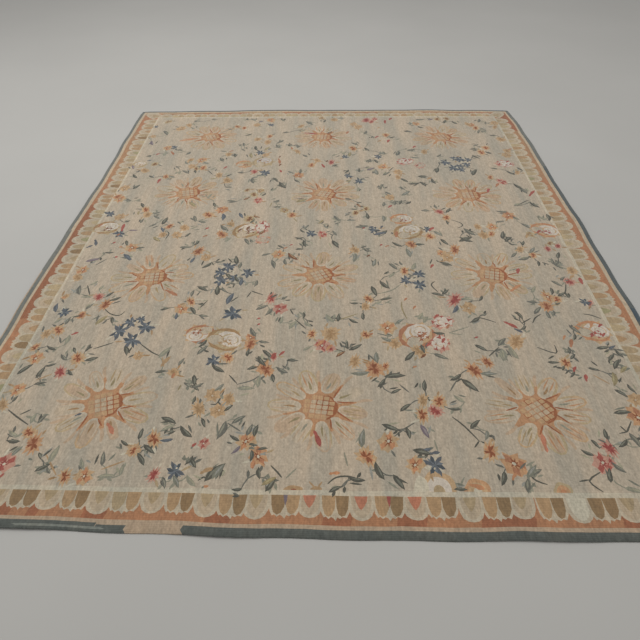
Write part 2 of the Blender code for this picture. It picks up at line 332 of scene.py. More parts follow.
# Stems: the points that each passes through, by dye. Millimetres.
STEMS = {
    "slate": (
        ((-1042, -1080), (-1000, -1110), (-950, -1142)), ((-993, -1100), (-965, -1078)),
        ((-332, -989), (-344, -1035), (-351, -1050), (-370, -1050)), ((-346, -1040), (-330, -1057)),
        ((-325, -916), (-293, -956)), ((-148, -1290), (-125, -1315), (-112, -1332)),
        ((-360, -1345), (-345, -1333), (-340, -1337)),
        ((25, -1352), (50, -1330), (88, -1326), (120, -1337)),
        ((429, -1096), (462, -1134), (500, -1194)), ((500, -1192), (480, -1218)),
        ((503, -1194), (525, -1206)), ((627, -1317), (640, -1335), (669, -1348)),
        ((1003, -1110), (984, -1138), (972, -1152), (947, -1159)), ((972, -1152), (961, -1129)),
        ((840, -1302), (795, -1334), (823, -1371)), ((795, -1330), (765, -1336)),
        ((-995, -402), (-963, -470)), ((-877, -554), (-844, -586), (-807, -596), (-790, -572)),
        ((-849, -787), (-783, -752)), ((-685, -754), (-629, -801), (-596, -820)),
        ((-298, -435), (-284, -444), (-246, -463)), ((-298, -442), (-312, -479)),
        ((-130, -554), (-116, -586)), ((-130, -554), (-107, -552)), ((-109, -614), (-64, -668)),
        ((-503, -224), (-484, -253)), ((36, -775), (83, -796)), ((470, -367), (452, -393), (475, -442)),
        ((671, -628), (610, -600), (578, -624)), ((652, -768), (606, -815)),
        ((480, -204), (466, -241)), ((500, -210), (503, -222), (536, -241)),
        ((1017, -372), (993, -442), (961, -460)), ((858, -577), (830, -600), (812, -631)),
        ((811, -603), (769, -633)), ((793, -766), (853, -797), (860, -754)),
        ((1024, -575), (1054, -584), (1084, -605)), ((957, -226), (985, -245)),
        ((-750, 21), (-736, -2), (-743, -49)), ((615, 126), (652, 103), (662, 75), (634, 52)),
        ((1040, 315), (1017, 306), (965, 260)), ((-657, 649), (-624, 602)), ((955, 975), (966, 1000)),
        ((-470, -500), (-500, -560)), ((380, 690), (352, 640)),
    ),
    "grey": (
        ((-302, -1129), (-255, -1162)), ((-293, -960), (-245, -942), (-218, -918)),
        ((307, -1120), (260, -1155), (235, -1178)), ((270, -955), (300, -992)),
        ((-1007, -257), (-970, -208)), ((209, -694), (260, -712)), ((440, -985), (470, -935)),
    ),
    "sage": (
        ((359, -1190), (364, -1232)), ((392, -1334), (406, -1363)), ((430, -1325), (410, -1360)),
        ((260, 1020), (235, 950)), ((480, -690), (560, -655)), ((480, -690), (530, -700)),
        ((200, -460), (280, -432), (326, -386)),
        ((75, -1240), (85, -1290)), ((-100, -1335), (-70, -1300)),
    ),
    "olive": (
        ((50, -624), (139, -579)), ((319, -502), (316, -549), (330, -610)),
        ((-486, -963), (-492, -990)), ((-153, 143), (-134, 110)), ((-270, 294), (-279, 250)),
    ),
    "tan": (
        ((-1000, -945), (-955, -915)), ((-853, -1250), (-816, -1297), (-790, -1330)),
        ((-660, -1310), (-597, -1278)), ((-582, -830), (-565, -877)), ((951, -905), (993, -947)),
        ((-30, -1345), (-12, -1366)), ((8, -1345), (-4, -1366)),
    ),
}

# Blossoms: middle and width, by kind. Millimetres.
BLOSSOMS = {
    "orange": (
        (-886, -842, 50), (-1047, -989, 50), (-935, -1173, 45), (-762, -1335, 50), (-704, -1336, 50),
        (-575, -1235, 40), (-526, -1195, 60), (-232, -1199, 56), (-580, -1240, 40), (333, -1087, 52),
        (214, -1199, 66), (144, -1255, 60), (527, -1232, 66), (291, -1281, 56), (396, -1031, 48),
        (873, -846, 50), (-1052, -295, 50), (-1017, -684, 50), (-1070, -780, 40), (-1044, -836, 50),
        (-891, -836, 52), (-538, -507, 50), (-566, -554, 55), (-342, -829, 50), (-39, -701, 45),
        (251, -661, 65), (165, -703, 42), (349, -292, 50), (916, -470, 50), (947, -484, 44),
        (186, -486, 46), (-1063, 330, 58), (-578, 171, 58), (-902, 222, 50), (-881, -119, 58),
        (-162, 171, 50), (596, 147, 50), (529, -160, 50), (494, -20, 45), (784, 3, 40),
        (800, 64, 46), (933, -172, 36), (-877, 576, 45), (-713, 779, 50), (-690, 681, 50),
        (158, 933, 60), (321, 695, 50), (944, 938, 50), (895, 565, 45), (-363, 1360, 56),
        (-568, 1255, 42), (-349, 1108, 50), (571, 1295, 50), (368, 1122, 46), (938, 1225, 55),
        (-946, 942, 50), (-81, 714, 45), (905, 877, 55), (-204, -170, 56),
    ),
    "rust": (
        (-902, -1218, 70), (-190, -1255, 56), (188, -880, 68), (540, -885, 72), (590, -1279, 68),
        (-200, -886, 60), (595, -845, 46), (1031, -1091, 66), (-956, -595, 36), (-881, -528, 56),
        (-270, -722, 36), (-267, -757, 48), (-569, -147, 66), (-515, 222, 62), (-484, -6, 55),
        (592, -128, 62), (902, 167, 58), (895, -528, 56), (-748, 64, 38), (-148, 593, 55),
        (-1082, 353, 40), (-522, 1235, 42), (919, 1276, 50), (400, -88, 50), (228, -870, 34),
    ),
    "crimson": (
        (-928, -907, 50), (-963, -1290, 60), (378, -1073, 48), (893, -1215, 52), (856, -1273, 58),
        (-923, -479, 46), (-211, -486, 54), (-172, -549, 58), (1033, -367, 50), (534, -488, 74),
        (-8, -2, 44), (569, 203, 45), (-496, -1328, 42), (-365, -1210, 30), (882, -1266, 24),
        (31, 751, 50), (947, 518, 52), (1012, -123, 34), (1064, -100, 34), (-344, 316, 44),
        (256, 1355, 62), (288, 1332, 46), (312, 1374, 40), (-396, 635, 44), (1071, -509, 34),
        (0, -760, 52), (28, -776, 40), (-176, -822, 34), (-366, -584, 26),
    ),
    "ochre": (
        (-1068, -1059, 50), (-370, -1010, 52), (-313, -1028, 46), (-407, -1070, 54), (-339, -1078, 50),
        (-524, -905, 42), (120, -845, 58), (1054, -1017, 50), (-1056, -348, 40), (-1056, -705, 50),
        (-526, -195, 50), (270, -750, 50), (172, -535, 45), (582, -540, 58), (1068, -288, 50),
        (723, -736, 76), (-1012, 152, 50), (-881, 171, 50), (-764, -11, 45), (-697, -11, 45),
        (-673, 52, 45), (-454, 82, 50), (335, 348, 50), (746, -11, 50), (732, 64, 42),
        (-1070, 446, 50), (-1012, 649, 52), (-779, 779, 42), (-755, 700, 45), (-568, 854, 42),
        (-167, 891, 45), (-351, 844, 42), (-50, 774, 36), (575, 886, 50), (1045, 840, 55),
        (1061, 896, 45), (1054, 625, 42), (1071, 1305, 54), (1059, 1057, 58), (1063, 1244, 42),
        (-923, 1225, 56), (-881, 1280, 42), (-162, 1258, 48), (200, 1248, 50), (48, 1365, 48),
        (-354, 1024, 54), (-445, 1280, 42), (-419, 1062, 42), (396, 569, 42), (400, 630, 48),
        (-531, 532, 50), (-587, 593, 48), (550, -193, 50), (141, -133, 42), (886, -128, 44),
        (172, 1290, 42), (900, 1286, 40), (343, -1026, 50), (-671, -821, 34), (32, -698, 78),
        (-1062, -480, 34), (-1072, 1108, 34), (358, -790, 60),
    ),
    "navy": (
        (-435, -1313, 50), (350, -1284, 60), (-393, -845, 46), (-1030, -579, 42), (-751, -637, 52),
        (-713, -620, 36), (-683, -665, 60), (-779, -689, 70), (-718, -740, 68), (-326, -311, 60),
        (-446, -306, 56), (-416, -268, 60), (-380, -350, 56), (-436, -366, 54),
        (-358, -582, 76), (410, -316, 50), (349, -360, 55), (403, -390, 62), (1054, -502, 40),
        (-1070, 180, 45), (-62, 3, 50), (-974, -2, 50), (235, 36, 56), (489, 43, 36),
        (678, 746, 60), (741, 793, 50), (767, 784, 58), (811, 779, 46), (713, 676, 58),
        (751, 700, 46), (755, 658, 44), (793, 718, 50), (-386, 877, 50), (302, 821, 42),
        (181, 523, 45), (-335, 621, 60), (125, 583, 42), (-909, 952, 40), (-1089, 1258, 30),
        (-354, 1281, 40), (111, 820, 40),
    ),
    "umber": (
        (-412, 423, 36), (-340, 418, 36), (-372, 376, 42), (153, 194, 45), (-202, 217, 45),
        (-974, 728, 45), (-727, 672, 36), (-1028, 1337, 42), (716, 1370, 46), (777, 1379, 42),
        (-34, 1393, 34), (-368, 134, 58), (1033, -79, 34), (963, -2, 38), (207, 231, 34),
    ),
}

# Buds and single strokes of colour: middle, turn and length, by dye. Millimetres.
BUDS = {
    "crimson": (
        (-953, -1336, 60, 24), (-396, -1220, 60, 28), (896, -877, 60, 32), (922, -919, 78, 38),
        (-10, -1188, -72, 72), (-97, 1148, -10, 90),
        (855, 420, 70, 50), (-932, -197, 40, 22), (-946, -703, 30, 30), (-251, -612, 40, 20),
        (-248, -647, 50, 18), (-176, -817, 60, 36), (-146, -806, 50, 32), (396, -754, 40, 32),
        (454, -731, 60, 32), (447, -593, 50, 32), (578, -715, 30, 22), (473, -257, 60, 34),
        (1085, -360, 88, 50), (725, -642, -40, 62), (1017, -698, 60, 32), (1061, -696, 50, 30),
        (1066, -644, 40, 30), (-977, -79, 50, 28), (-935, -193, 40, 22), (-970, 54, 95, 72),
        (-153, -95, 40, 24), (-279, 57, 80, 34), (328, 255, 50, 34), (510, 45, 50, 42),
        (1010, 22, 50, 40), (1073, 390, 55, 78), (-986, 858, 50, 32), (-904, 527, 85, 56),
        (-564, 686, 60, 36), (-251, 642, -70, 38), (-15, 705, -70, 50), (309, 1092, 50, 40),
        (377, 1036, 70, 50), (524, 952, 50, 38), (515, 709, 60, 30), (456, 770, 60, 34),
        (979, 728, 60, 30), (1031, 756, 50, 30), (377, 1328, 88, 58), (414, 1374, 60, 44),
        (186, 50, 40, 26), (260, -95, 50, 26), (-564, 45, 50, 28), (838, -292, 70, 44),
    ),
    "orange": (
        (-637, -445, -35, 62), (-622, -455, -35, 56), (484, -652, 60, 32), (386, -700, 60, 34),
        (340, -2, 80, 56), (-560, -20, 40, 30), (926, -743, 70, 50), (-267, 765, -80, 76),
        (1082, 919, 30, 32), (915, 480, 60, 50), (-559, 896, 40, 32), (-204, 936, -70, 36),
        (-1086, 72, 60, 34), (-176, -119, 40, 26), (288, -102, 30, 24), (-974, -10, 60, 24),
        (336, -488, 50, 26), (367, -539, 60, 26), (-522, -920, 80, 28), (185, -700, 50, 26),
        (132, 1160, 70, 46), (-904, 872, -60, 56), (-200, -1290, 80, 28),
    ),
    "coral": (
        (800, -410, 40, 78), (-846, 1058, 20, 120), (579, -1321, 60, 32), (462, -1358, -20, 46),
        (-6, -750, 50, 40), (27, -773, 60, 40), (-937, -114, 50, 26), (-916, -165, 40, 26),
        (-1068, -488, 40, 28), (46, -1316, 5, 36), (-335, -1366, 20, 22), (-312, -23, 50, 26),
        (-307, -77, 60, 26), (-260, -34, 40, 24), (-263, -74, 50, 24), (909, -712, 60, 30),
        (330, -872, 40, 24), (-204, -1286, 80, 30), (1034, -640, 60, 34),
    ),
    "umber": (
        (370, -815, 50, 30), (-377, 774, 50, 34), (-365, 50, 70, 36), (-403, 31, 60, 34),
        (-258, 718, 70, 30), (-267, 820, 70, 26), (8, 765, 60, 28), (200, -180, 40, 26),
    ),
    "navy": (
        (746, -675, -40, 38), (-800, -1100, 30, 26), (274, 60, 70, 34), (-1063, -77, -70, 58),
        (-1080, -110, 40, 34), (-1016, 774, 30, 30), (223, 59, 40, 34), (354, -1240, 10, 34),
    ),
    "salmon": ((702, -1198, 88, 76), (-678, -1155, -55, 60)),
    "tan": (
        (-340, -1311, 30, 44), (354, 681, 40, 34), (323, 1036, 40, 34), (564, 555, 40, 38),
        (947, -16, 60, 40), (1054, -334, 50, 40), (328, 1235, 50, 30), (-330, 872, 40, 34),
        (-565, -850, 65, 60),
    ),
}

# Open roses: middle, turn, width and height, and the dyes of the outline, the inside
# and the strokes at the heart. Millimetres.
ROSES = (
    (-468, -702, 190, 108, 96, "orange", "rose_white", "rust"),
    (-365, -731, -30, 136, 114, "ochre", "rose_white", "tan"),
    (358, -703, 40, 144, 126, "orange", "rose_white", "rust"),
    (466, -628, 10, 88, 80, "pink", "rose_white", "crimson"),
    (440, -745, 70, 90, 78, "pink", "rose_white", "crimson"),
    (1031, -675, -20, 122, 112, "coral", "rose_white", "crimson"),
    (-1049, 54, 0, 118, 104, "ochre", "rose_white", "umber"),
    (-370, 30, 30, 132, 114, "ochre", "rose_white", "umber"),
    (-298, 59, 80, 110, 74, "pink", "rose_white", "crimson"),
    (-285, -50, 15, 70, 62, "pink", "ground", "pink"),
    (377, 134, -15, 104, 92, "coral", "rose_white", "rust"),
    (396, 22, 25, 136, 118, "ochre", "rose_white", "tan"),
    (1045, 36, -40, 128, 112, "coral", "rose_white", "crimson"),
    (-1063, 723, 30, 82, 74, "khaki", "rose_white", "tan"),
    (-461, 728, -10, 92, 82, "coral", "khaki", "rust"),
    (-358, 756, 30, 118, 104, "khaki", "lilac", "tan"),
    (452, 760, 15, 100, 86, "pink", "rose_white", "crimson"),
    (531, 710, 60, 70, 62, "pink", "ground", "pink"),
    (1010, 728, -25, 100, 88, "pink", "rose_white", "crimson"),
)

# Half flowers that stand on the near ivory line: middle of the foot, width, height,
# and the dyes of the outline, the inside and the heart. Millimetres.
HALF_FLOWERS = (
    (-75, -1374, 56, 16, "tan", "tan", "rust"),
    (-8, -1372, 34, 12, "tan", "tan", "tan"),
    (350, -1376, 104, 72, "peach_light", "rose_white", "khaki"),
    (462, -1374, 78, 44, "peach", "peach_light", "cream"),
    (709, -1374, 56, 34, "khaki_light", "peach", "coral"),
    (300, -1376, 44, 54, "cream", "cream", "cream"),
)

# Dye of a rose's outer petals and folds, by the dye of its outline.
ROSE_SHADES = {
    "orange": "peach_light",
    "ochre": "khaki_light",
    "pink": "peach_light",
    "coral": "peach_light",
    "khaki": "khaki_light",
}

# Dyes of each kind of blossom: its middle, its fringe, its eye and its core.
BLOSSOM_DYES = {
    "orange": ("coral", "peach_light", "cream", "rust_core"),
    "rust": ("orange", "peach", "cream", "rust_core"),
    "crimson": ("crimson", "pink", "cream", "crimson_core"),
    "ochre": ("tan", "peach_light", "ground_warm", "ochre"),
    "navy": ("navy", "blue_grey", "ivory", "navy_core"),
    "umber": ("ochre", "khaki_light", "cream", "umber"),
}

# Leaves are woven in two halves: the darker one and the lighter one.
LEAF_DYES = {
    "slate": ("slate", "slate_light"),
    "grey": ("grey", "sage"),
    "sage": ("sage", "sage_light"),
    "teal": ("slate_light", "teal"),
    "navy": ("navy", "blue_grey"),
    "olive": ("olive", "olive_light"),
    "umber": ("umber", "tan"),
    "mauve": ("mauve", "mauve_light"),
}


def linear(hex_colour):
    """An sRGB hex colour as linear red, green and blue."""
    values = [int(hex_colour[i : i + 2], 16) / 255 for i in (1, 3, 5)]
    return [v / 12.92 if v <= 0.04045 else ((v + 0.055) / 1.055) ** 2.4 for v in values]


def dye_property(name, hex_colour, description):
    """A colour that the user may change."""
    return bpy.props.FloatVectorProperty(
        name=name,
        description=description,
        default=linear(hex_colour),
        subtype="COLOR",
        size=3,
        min=0.0,
        max=1.0,
    )


def length_property(name, default, lowest, description):
    """A length in metres that the user may change."""
    return bpy.props.FloatProperty(
        name=name, description=description, default=default, min=lowest, unit="LENGTH"
    )


class RugDyes(bpy.types.PropertyGroup):
    """The wool's dyes, soft and a little faded."""

    ground: dye_property("Ground", "#a59886", "Grey beige of the field")
    ground_warm: dye_property("Warm ground", "#ab9b86", "Warmer wool at some hearts")
    ivory: dye_property("Ivory", "#aea491", "Plain line inside the petal border")
    cream: dye_property("Cream", "#b2a995", "Lightest wool, in one border petal and the blossoms' eyes")
    # The guard dye also paints the highlight strip along the left edge's outer rim.
    guard: dye_property("Guard", "#a08c76", "Near line between the terracotta and the dark band")
    guard_light: dye_property("Light guard", "#ac9a82", "The same line at the other three sides")
    terracotta: dye_property("Terracotta", "#9a6e50", "Band behind the border petals")
    terracotta_deep: dye_property("Deep terracotta", "#8a5b41", "Deeper stretches at the long sides")
    terracotta_faded: dye_property("Faded terracotta", "#967355", "Paler stretches at the far half")
    rust_dark: dye_property("Dark rust", "#8a5a41", "Darker stretches of the terracotta band")
    petal_edge: dye_property("Petal edge", "#a99c87", "Outlines of the border petals")
    petal_fill: dye_property("Petal fill", "#a4937c", "Inside of the single border petals")
    petal_brown: dye_property("Petal brown", "#80684b", "Darker lobes of the border petals")
    tan: dye_property("Tan", "#9a7e5e", "Lighter lobes of the border petals, ochre blossoms")
    khaki: dye_property("Khaki", "#988568", "Wedges in the single border petals")
    khaki_light: dye_property("Light khaki", "#a18f70", "Paler lobes of the side borders")
    khaki_green: dye_property("Khaki green", "#8b8463", "Greener wedges in the side borders")
    salmon: dye_property("Salmon", "#a56d55", "Reddish wedges in the near border")
    mauve: dye_property("Mauve", "#6b5f64", "Dull purple of a few leaves")
    mauve_light: dye_property("Light mauve", "#857b79", "Light half of the mauve leaves")
    rose_white: dye_property("Rose white", "#b7ac9e", "Inside of the open roses")
    lilac: dye_property("Lilac", "#aaa29c", "Cool white inside a rose")
    band_near: dye_property("Near band", "#535651", "Dark outer band at the near side")
    band_right: dye_property("Right band", "#4f5453", "Bluer stretch of the dark band")
    band_blue: dye_property("Blue band", "#404b53", "Bluest stretch of the dark band")
    band_left: dye_property("Left band", "#676862", "Paler stretch of the dark band")
    band_speckle: dye_property("Band speckle", "#73756d", "Lighter streak in the dark band")
    slate: dye_property("Slate", "#4f4d44", "Dark half of the leaves, and stems")
    slate_light: dye_property("Light slate", "#6f6e61", "Light half of the dark leaves")
    grey: dye_property("Leaf grey", "#615f56", "Middle grey green of the leaves")
    sage: dye_property("Sage", "#807d6d", "Pale leaf green")
    sage_light: dye_property("Light sage", "#928d77", "Palest leaf green")
    teal: dye_property("Teal", "#85837a", "Pale blue green of some leaves")
    navy: dye_property("Navy", "#54575b", "Dark blue of the cornflowers")
    blue_grey: dye_property("Blue grey", "#64696d", "Lighter blue of the cornflowers")
    olive: dye_property("Olive", "#85785a", "Yellow green strokes and leaves")
    olive_light: dye_property("Light olive", "#9a8f6d", "Light half of the olive leaves")
    orange: dye_property("Orange", "#97694e", "Middle of the rust blossoms")
    coral: dye_property("Coral", "#a87857", "Middle of the orange blossoms")
    peach: dye_property("Peach", "#aa8462", "Fringe of the rust blossoms")
    peach_light: dye_property("Light peach", "#a98d6c", "Fringe of the orange and the ochre blossoms")
    rust: dye_property("Rust", "#84523a", "Strokes at the hearts of the roses")
    rust_core: dye_property("Rust core", "#7c4a31", "Darkest wool at the hearts of the orange blossoms")
    crimson_core: dye_property("Crimson core", "#84403a", "Darkest wool at the red hearts")
    navy_core: dye_property("Navy core", "#454a4e", "Darkest wool of the cornflowers")
    umber: dye_property("Umber", "#6c4832", "Brown strokes and leaves")
    crimson: dye_property("Crimson", "#914f45", "Red strokes and blossoms")
    pink: dye_property("Pink", "#a98170", "Fringe of the red blossoms")
    ochre: dye_property("Ochre", "#8f7251", "Heart of the ochre blossoms")
    sun_star: dye_property("Sunflower star", "#a37b5a", "Peach star behind the sunflower's petals")
    sun_cell: dye_property("Sunflower cell", "#a8957c", "Middle of the heart's cells")
    sun_line: dye_property("Sunflower line", "#a07c5e", "Lines between the heart's cells")
    sun_heart: dye_property("Sunflower heart", "#a98a68", "Heart of the sunflower")
    sun_rust: dye_property("Sunflower rust", "#8b5638", "Outlines in the sunflower's heart")
    sun_petal: dye_property("Sunflower petal", "#a79985", "Inside of the sunflower's petals")
    sun_cream: dye_property("Sunflower cream", "#ad9f8b", "Outlines of the sunflower's petals")
    sun_peach: dye_property("Sunflower peach", "#a69078", "Peach petals of the sunflowers")
    sun_ochre: dye_property("Sunflower ochre", "#978261", "Strokes inside the sunflower's petals")


class RugSizes(bpy.types.PropertyGroup):
    """Sizes of the rug's pattern and weave."""

    width: length_property(
        "Width", 2.47, 1.0, "Width of the straight rectangle that the rug strays from"
    )
    length: length_property(
        "Length", 3.05, 1.0, "Length of the straight rectangle that the rug strays from"
    )
    thickness: length_property("Thickness", 0.003, 0.001, "Thickness of the cloth")
    rim: length_property(
        "Rim", 0.0012, 0.0, "How far the rounded rim stands out from the top and the underside"
    )
    outline_fade: length_property(
        "Outline fade", 0.27, 0.01, "Depth over which the uneven outline fades to the chart"
    )
    waver: length_property("Waver", 0.0022, 0.0, "How far drawn outlines stray from their chart")
    sunflower_petals: bpy.props.IntProperty(
        name="Sunflower petals",
        description="Number of petals round each sunflower",
        default=10,
        min=5,
        max=20,
    )
    sunflower_reach: length_property(
        "Sunflower reach", 0.182, 0.05, "Distance from a sunflower's middle to its petals' tips"
    )
    rib_pitch: length_property(
        "Rib pitch", 0.0055, 0.001, "Distance between the ribs that the warps raise"
    )


class StageSettings(bpy.types.PropertyGroup):
    """Floor and light of the studio."""

    floor: dye_property("Floor", "#a9a7a2", "Plain pale floor")
    softbox_power: bpy.props.FloatProperty(
        name="Softbox power",
        description="Power of the large soft light overhead",
        default=139.0,
        min=0.0,
        unit="POWER",
    )
    room_light: bpy.props.FloatProperty(
        name="Room light",
        description="Strength of the even light from all around",
        default=0.592,
        min=0.0,
    )


def add_node(tree, kind, settings=None, values=None, links=None):
    """Adds a node with its properties, its inputs' constants and its inputs' sources."""
    node = tree.nodes.new(kind)
    for key, value in (settings or {}).items():
        setattr(node, key, value)
    for key, value in (values or {}).items():
        node.inputs[key].default_value = value
    for key, source in (links or {}).items():
        tree.links.new(source, node.inputs[key])
    return node


def new_tree(name, inputs):
    """A Geometry Nodes tree with named inputs: name, socket type and default of each."""
    tree = bpy.data.node_groups.new(name, "GeometryNodeTree")
    tree.interface.new_socket("Geometry", in_out="OUTPUT", socket_type="NodeSocketGeometry")
    tree.interface.new_socket("Geometry", in_out="INPUT", socket_type="NodeSocketGeometry")
    for label, kind, default in inputs:
        socket = tree.interface.new_socket(label, in_out="INPUT", socket_type=kind)
        if default is not None:
            socket.default_value = default
    return tree


def run_tree(host, tree, values):
    """Runs a tree on an object with these inputs and returns the result as a plain mesh."""
    modifier = host.modifiers.new(tree.name, "NODES")
    modifier.node_group = tree
    for item in tree.interface.items_tree:
        if item.item_type == "SOCKET" and item.in_out == "INPUT" and item.name in values:
            modifier[item.identifier] = values[item.name]
    host.update_tag()
    graph = bpy.context.evaluated_depsgraph_get()
    mesh = bpy.data.meshes.new_from_object(host.evaluated_get(graph))
    host.modifiers.remove(modifier)
    return mesh


def stamping_tree():
    """Tree that stamps a motif on points, each turned and stretched as its point says."""
    tree = new_tree(
        "stamp_motif",
        (
            ("Motif", "NodeSocketObject", None),
            ("Waver", "NodeSocketFloat", 0.002),
            ("Waver scale", "NodeSocketFloat", 22.0),
            ("Seed", "NodeSocketFloat", 0.0),
            ("Material", "NodeSocketMaterial", None),
        ),
    )
    source = add_node(tree, "NodeGroupInput")
    motif = add_node(
        tree, "GeometryNodeObjectInfo", links={"Object": source.outputs["Motif"]}
    )
    turn = add_node(
        tree, "GeometryNodeInputNamedAttribute", {"data_type": "FLOAT"}, {"Name": "turn"}
    )
    rotation = add_node(
        tree, "ShaderNodeCombineXYZ", links={"Z": turn.outputs["Attribute"]}
    )
    stretch = add_node(
        tree,
        "GeometryNodeInputNamedAttribute",
        {"data_type": "FLOAT_VECTOR"},
        {"Name": "stretch"},
    )
    stamped = add_node(
        tree,
        "GeometryNodeInstanceOnPoints",
        links={
            "Points": source.outputs["Geometry"],
            "Instance": motif.outputs["Geometry"],
            "Rotation": rotation.outputs["Vector"],
            "Scale": stretch.outputs["Attribute"],
        },
    )
    single = add_node(
        tree,
        "GeometryNodeRealizeInstances",
        links={"Geometry": stamped.outputs["Instances"]},
    )
    ripple = add_node(
        tree,
        "ShaderNodeTexNoise",
        {"noise_dimensions": "4D"},
        {"Detail": 3.0, "Roughness": 0.62},
        {"W": source.outputs["Seed"], "Scale": source.outputs["Waver scale"]},
    )
    centred = add_node(
        tree,
        "ShaderNodeVectorMath",
        {"operation": "SUBTRACT"},
        {1: (0.5, 0.5, 0.5)},
        {0: ripple.outputs["Color"]},
    )
    offset = add_node(
        tree,
        "ShaderNodeVectorMath",
        {"operation": "SCALE"},
        links={0: centred.outputs["Vector"], "Scale": source.outputs["Waver"]},
    )
    moved = add_node(
        tree,
        "GeometryNodeSetPosition",
        links={"Geometry": single.outputs["Geometry"], "Offset": offset.outputs["Vector"]},
    )
    finished = add_node(
        tree,
        "GeometryNodeSetMaterial",
        links={
            "Geometry": moved.outputs["Geometry"],
            "Material": source.outputs["Material"],
        },
    )
    add_node(tree, "NodeGroupOutput", links={"Geometry": finished.outputs["Geometry"]})
    return tree


def laying_tree():
    """Tree that lays a flat sheet on a surface, by rays from above a little further in."""
    tree = new_tree(
        "lay_sheet",
        (
            ("Surface", "NodeSocketObject", None),
            ("Thickness", "NodeSocketFloat", 0.003),
            ("Inset", "NodeSocketFloat", 0.997),
            ("Material", "NodeSocketMaterial", None),
        ),
    )
    source = add_node(tree, "NodeGroupInput")
    surface = add_node(
        tree, "GeometryNodeObjectInfo", links={"Object": source.outputs["Surface"]}
    )
    place = add_node(tree, "GeometryNodeInputPosition")
    inwards = add_node(
        tree,
        "ShaderNodeVectorMath",
        {"operation": "SCALE"},
        links={0: place.outputs["Position"], "Scale": source.outputs["Inset"]},
    )
    above = add_node(
        tree,
        "ShaderNodeVectorMath",
        {"operation": "ADD"},
        {1: (0.0, 0.0, 0.2)},
        {0: inwards.outputs["Vector"]},
    )
    ray = add_node(
        tree,
        "GeometryNodeRaycast",
        values={"Ray Direction": (0.0, 0.0, -1.0), "Ray Length": 1.0},
        links={
            "Target Geometry": surface.outputs["Geometry"],
            "Source Position": above.outputs["Vector"],
        },
    )
    hit = add_node(
        tree, "ShaderNodeSeparateXYZ", links={"Vector": ray.outputs["Hit Position"]}
    )
    lift = add_node(
        tree,
        "ShaderNodeMath",
        {"operation": "SUBTRACT"},
        links={0: hit.outputs["Z"], 1: source.outputs["Thickness"]},
    )
    offset = add_node(tree, "ShaderNodeCombineXYZ", links={"Z": lift.outputs["Value"]})
    laid = add_node(
        tree,
        "GeometryNodeSetPosition",
        links={
            "Geometry": source.outputs["Geometry"],
            "Selection": ray.outputs["Is Hit"],
            "Offset": offset.outputs["Vector"],
        },
    )
    single = add_node(
        tree, "GeometryNodeRealizeInstances", links={"Geometry": laid.outputs["Geometry"]}
    )
    finished = add_node(
        tree,
        "GeometryNodeSetMaterial",
        links={
            "Geometry": single.outputs["Geometry"],
            "Material": source.outputs["Material"],
        },
    )
    add_node(tree, "NodeGroupOutput", links={"Geometry": finished.outputs["Geometry"]})
    return tree


# Fixes the small offsets of every drawn edge, which would else follow the clock. The
# next two numbers are the long lines' place in the noise and the step between motifs.
WAVER_SEED = 17
WAVER_PLACE = 7.3
SEED_STEP = 3.7


def smooth_step(share):
    """An S-shaped rise from 0 to 1 as share goes from 0 to 1."""
    share = min(max(share, 0.0), 1.0)
    return share * share * (3.0 - 2.0 * share)


def waver(x, y, height, spacing=0.03):
    """A small uneven offset in X and Y that varies over about this spacing."""
    shift = noise.noise_vector(Vector((x / spacing, y / spacing, WAVER_PLACE)))
    return Vector((shift.x, shift.y)) * height


class Outline:
    """The CAD rug's outline, and the chart's way from the straight rectangle to it."""

    def __init__(self, sizes):
        self.half_x = sizes.width / 2
        self.half_y = sizes.length / 2
        self.fade = sizes.outline_fade
        self.ring = self.read_ring()
        self.strays = self.read_strays()

    def read_ring(self):
        """The CAD rug's rim in chart coordinates, from the near left corner, anticlockwise."""
        cad = bmesh.new()
        cad.from_mesh(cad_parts["rug"].data)
        bmesh.ops.remove_doubles(cad, verts=cad.verts, dist=1e-5)
        cad.normal_update()
        top = {face for face in cad.faces if face.normal.z > 0.1}
        follow = {}
        for face in top:
            for loop in face.loops:
                others = [other for other in loop.edge.link_faces if other in top]
                if len(others) == 1:
                    follow[loop.vert] = loop.link_loop_next.vert
        corner = Vector((-self.half_x, -self.half_y))
        start = min(follow, key=lambda vert: (vert.co.xy - corner).length)
        vert = start
        ring = [vert.co.xy + CHART_MIDDLE]
        while follow[vert] is not start:
            vert = follow[vert]
            ring.append(vert.co.xy + CHART_MIDDLE)
        cad.free()
        return ring

    def read_strays(self):
        """For each side, places along it and how far the rim strays outwards there."""
        strays = {side: [] for side in BORDER_LINES}
        for point in self.ring:
            gaps = {
                "near": abs(point.y + self.half_y),
                "right": abs(point.x - self.half_x),
                "far": abs(point.y - self.half_y),
                "left": abs(point.x + self.half_x),
            }
            side = min(gaps, key=gaps.get)
            if side in ("near", "far"):
                outwards = abs(point.y) - self.half_y
                strays[side].append((point.x, outwards))
            else:
                outwards = abs(point.x) - self.half_x
                strays[side].append((point.y, outwards))
        return {side: tuple(zip(*sorted(rows))) for side, rows in strays.items()}

    def chart_point(self, side, place, depth):
        """Point of the straight rectangle at a place along a side and a depth from it."""
        return {
            "near": Vector((place, -self.half_y + depth)),
            "right": Vector((self.half_x - depth, place)),
            "far": Vector((place, self.half_y - depth)),
            "left": Vector((-self.half_x + depth, place)),
        }[side]

    def warp(self, point):
        """The place on the uneven rug of a point of the straight rectangle."""
        depths = {
            "near": (point.y + self.half_y, point.x, Vector((0, -1))),
            "right": (self.half_x - point.x, point.y, Vector((1, 0))),
            "far": (self.half_y - point.y, point.x, Vector((0, 1))),
            "left": (point.x + self.half_x, point.y, Vector((-1, 0))),
        }
        moved = point.copy()
        for side, (depth, place, outwards) in depths.items():
            if depth < self.fade:
                stray = float(np.interp(place, *self.strays[side]))
                moved += outwards * stray * smooth_step(1.0 - depth / self.fade)
        return moved


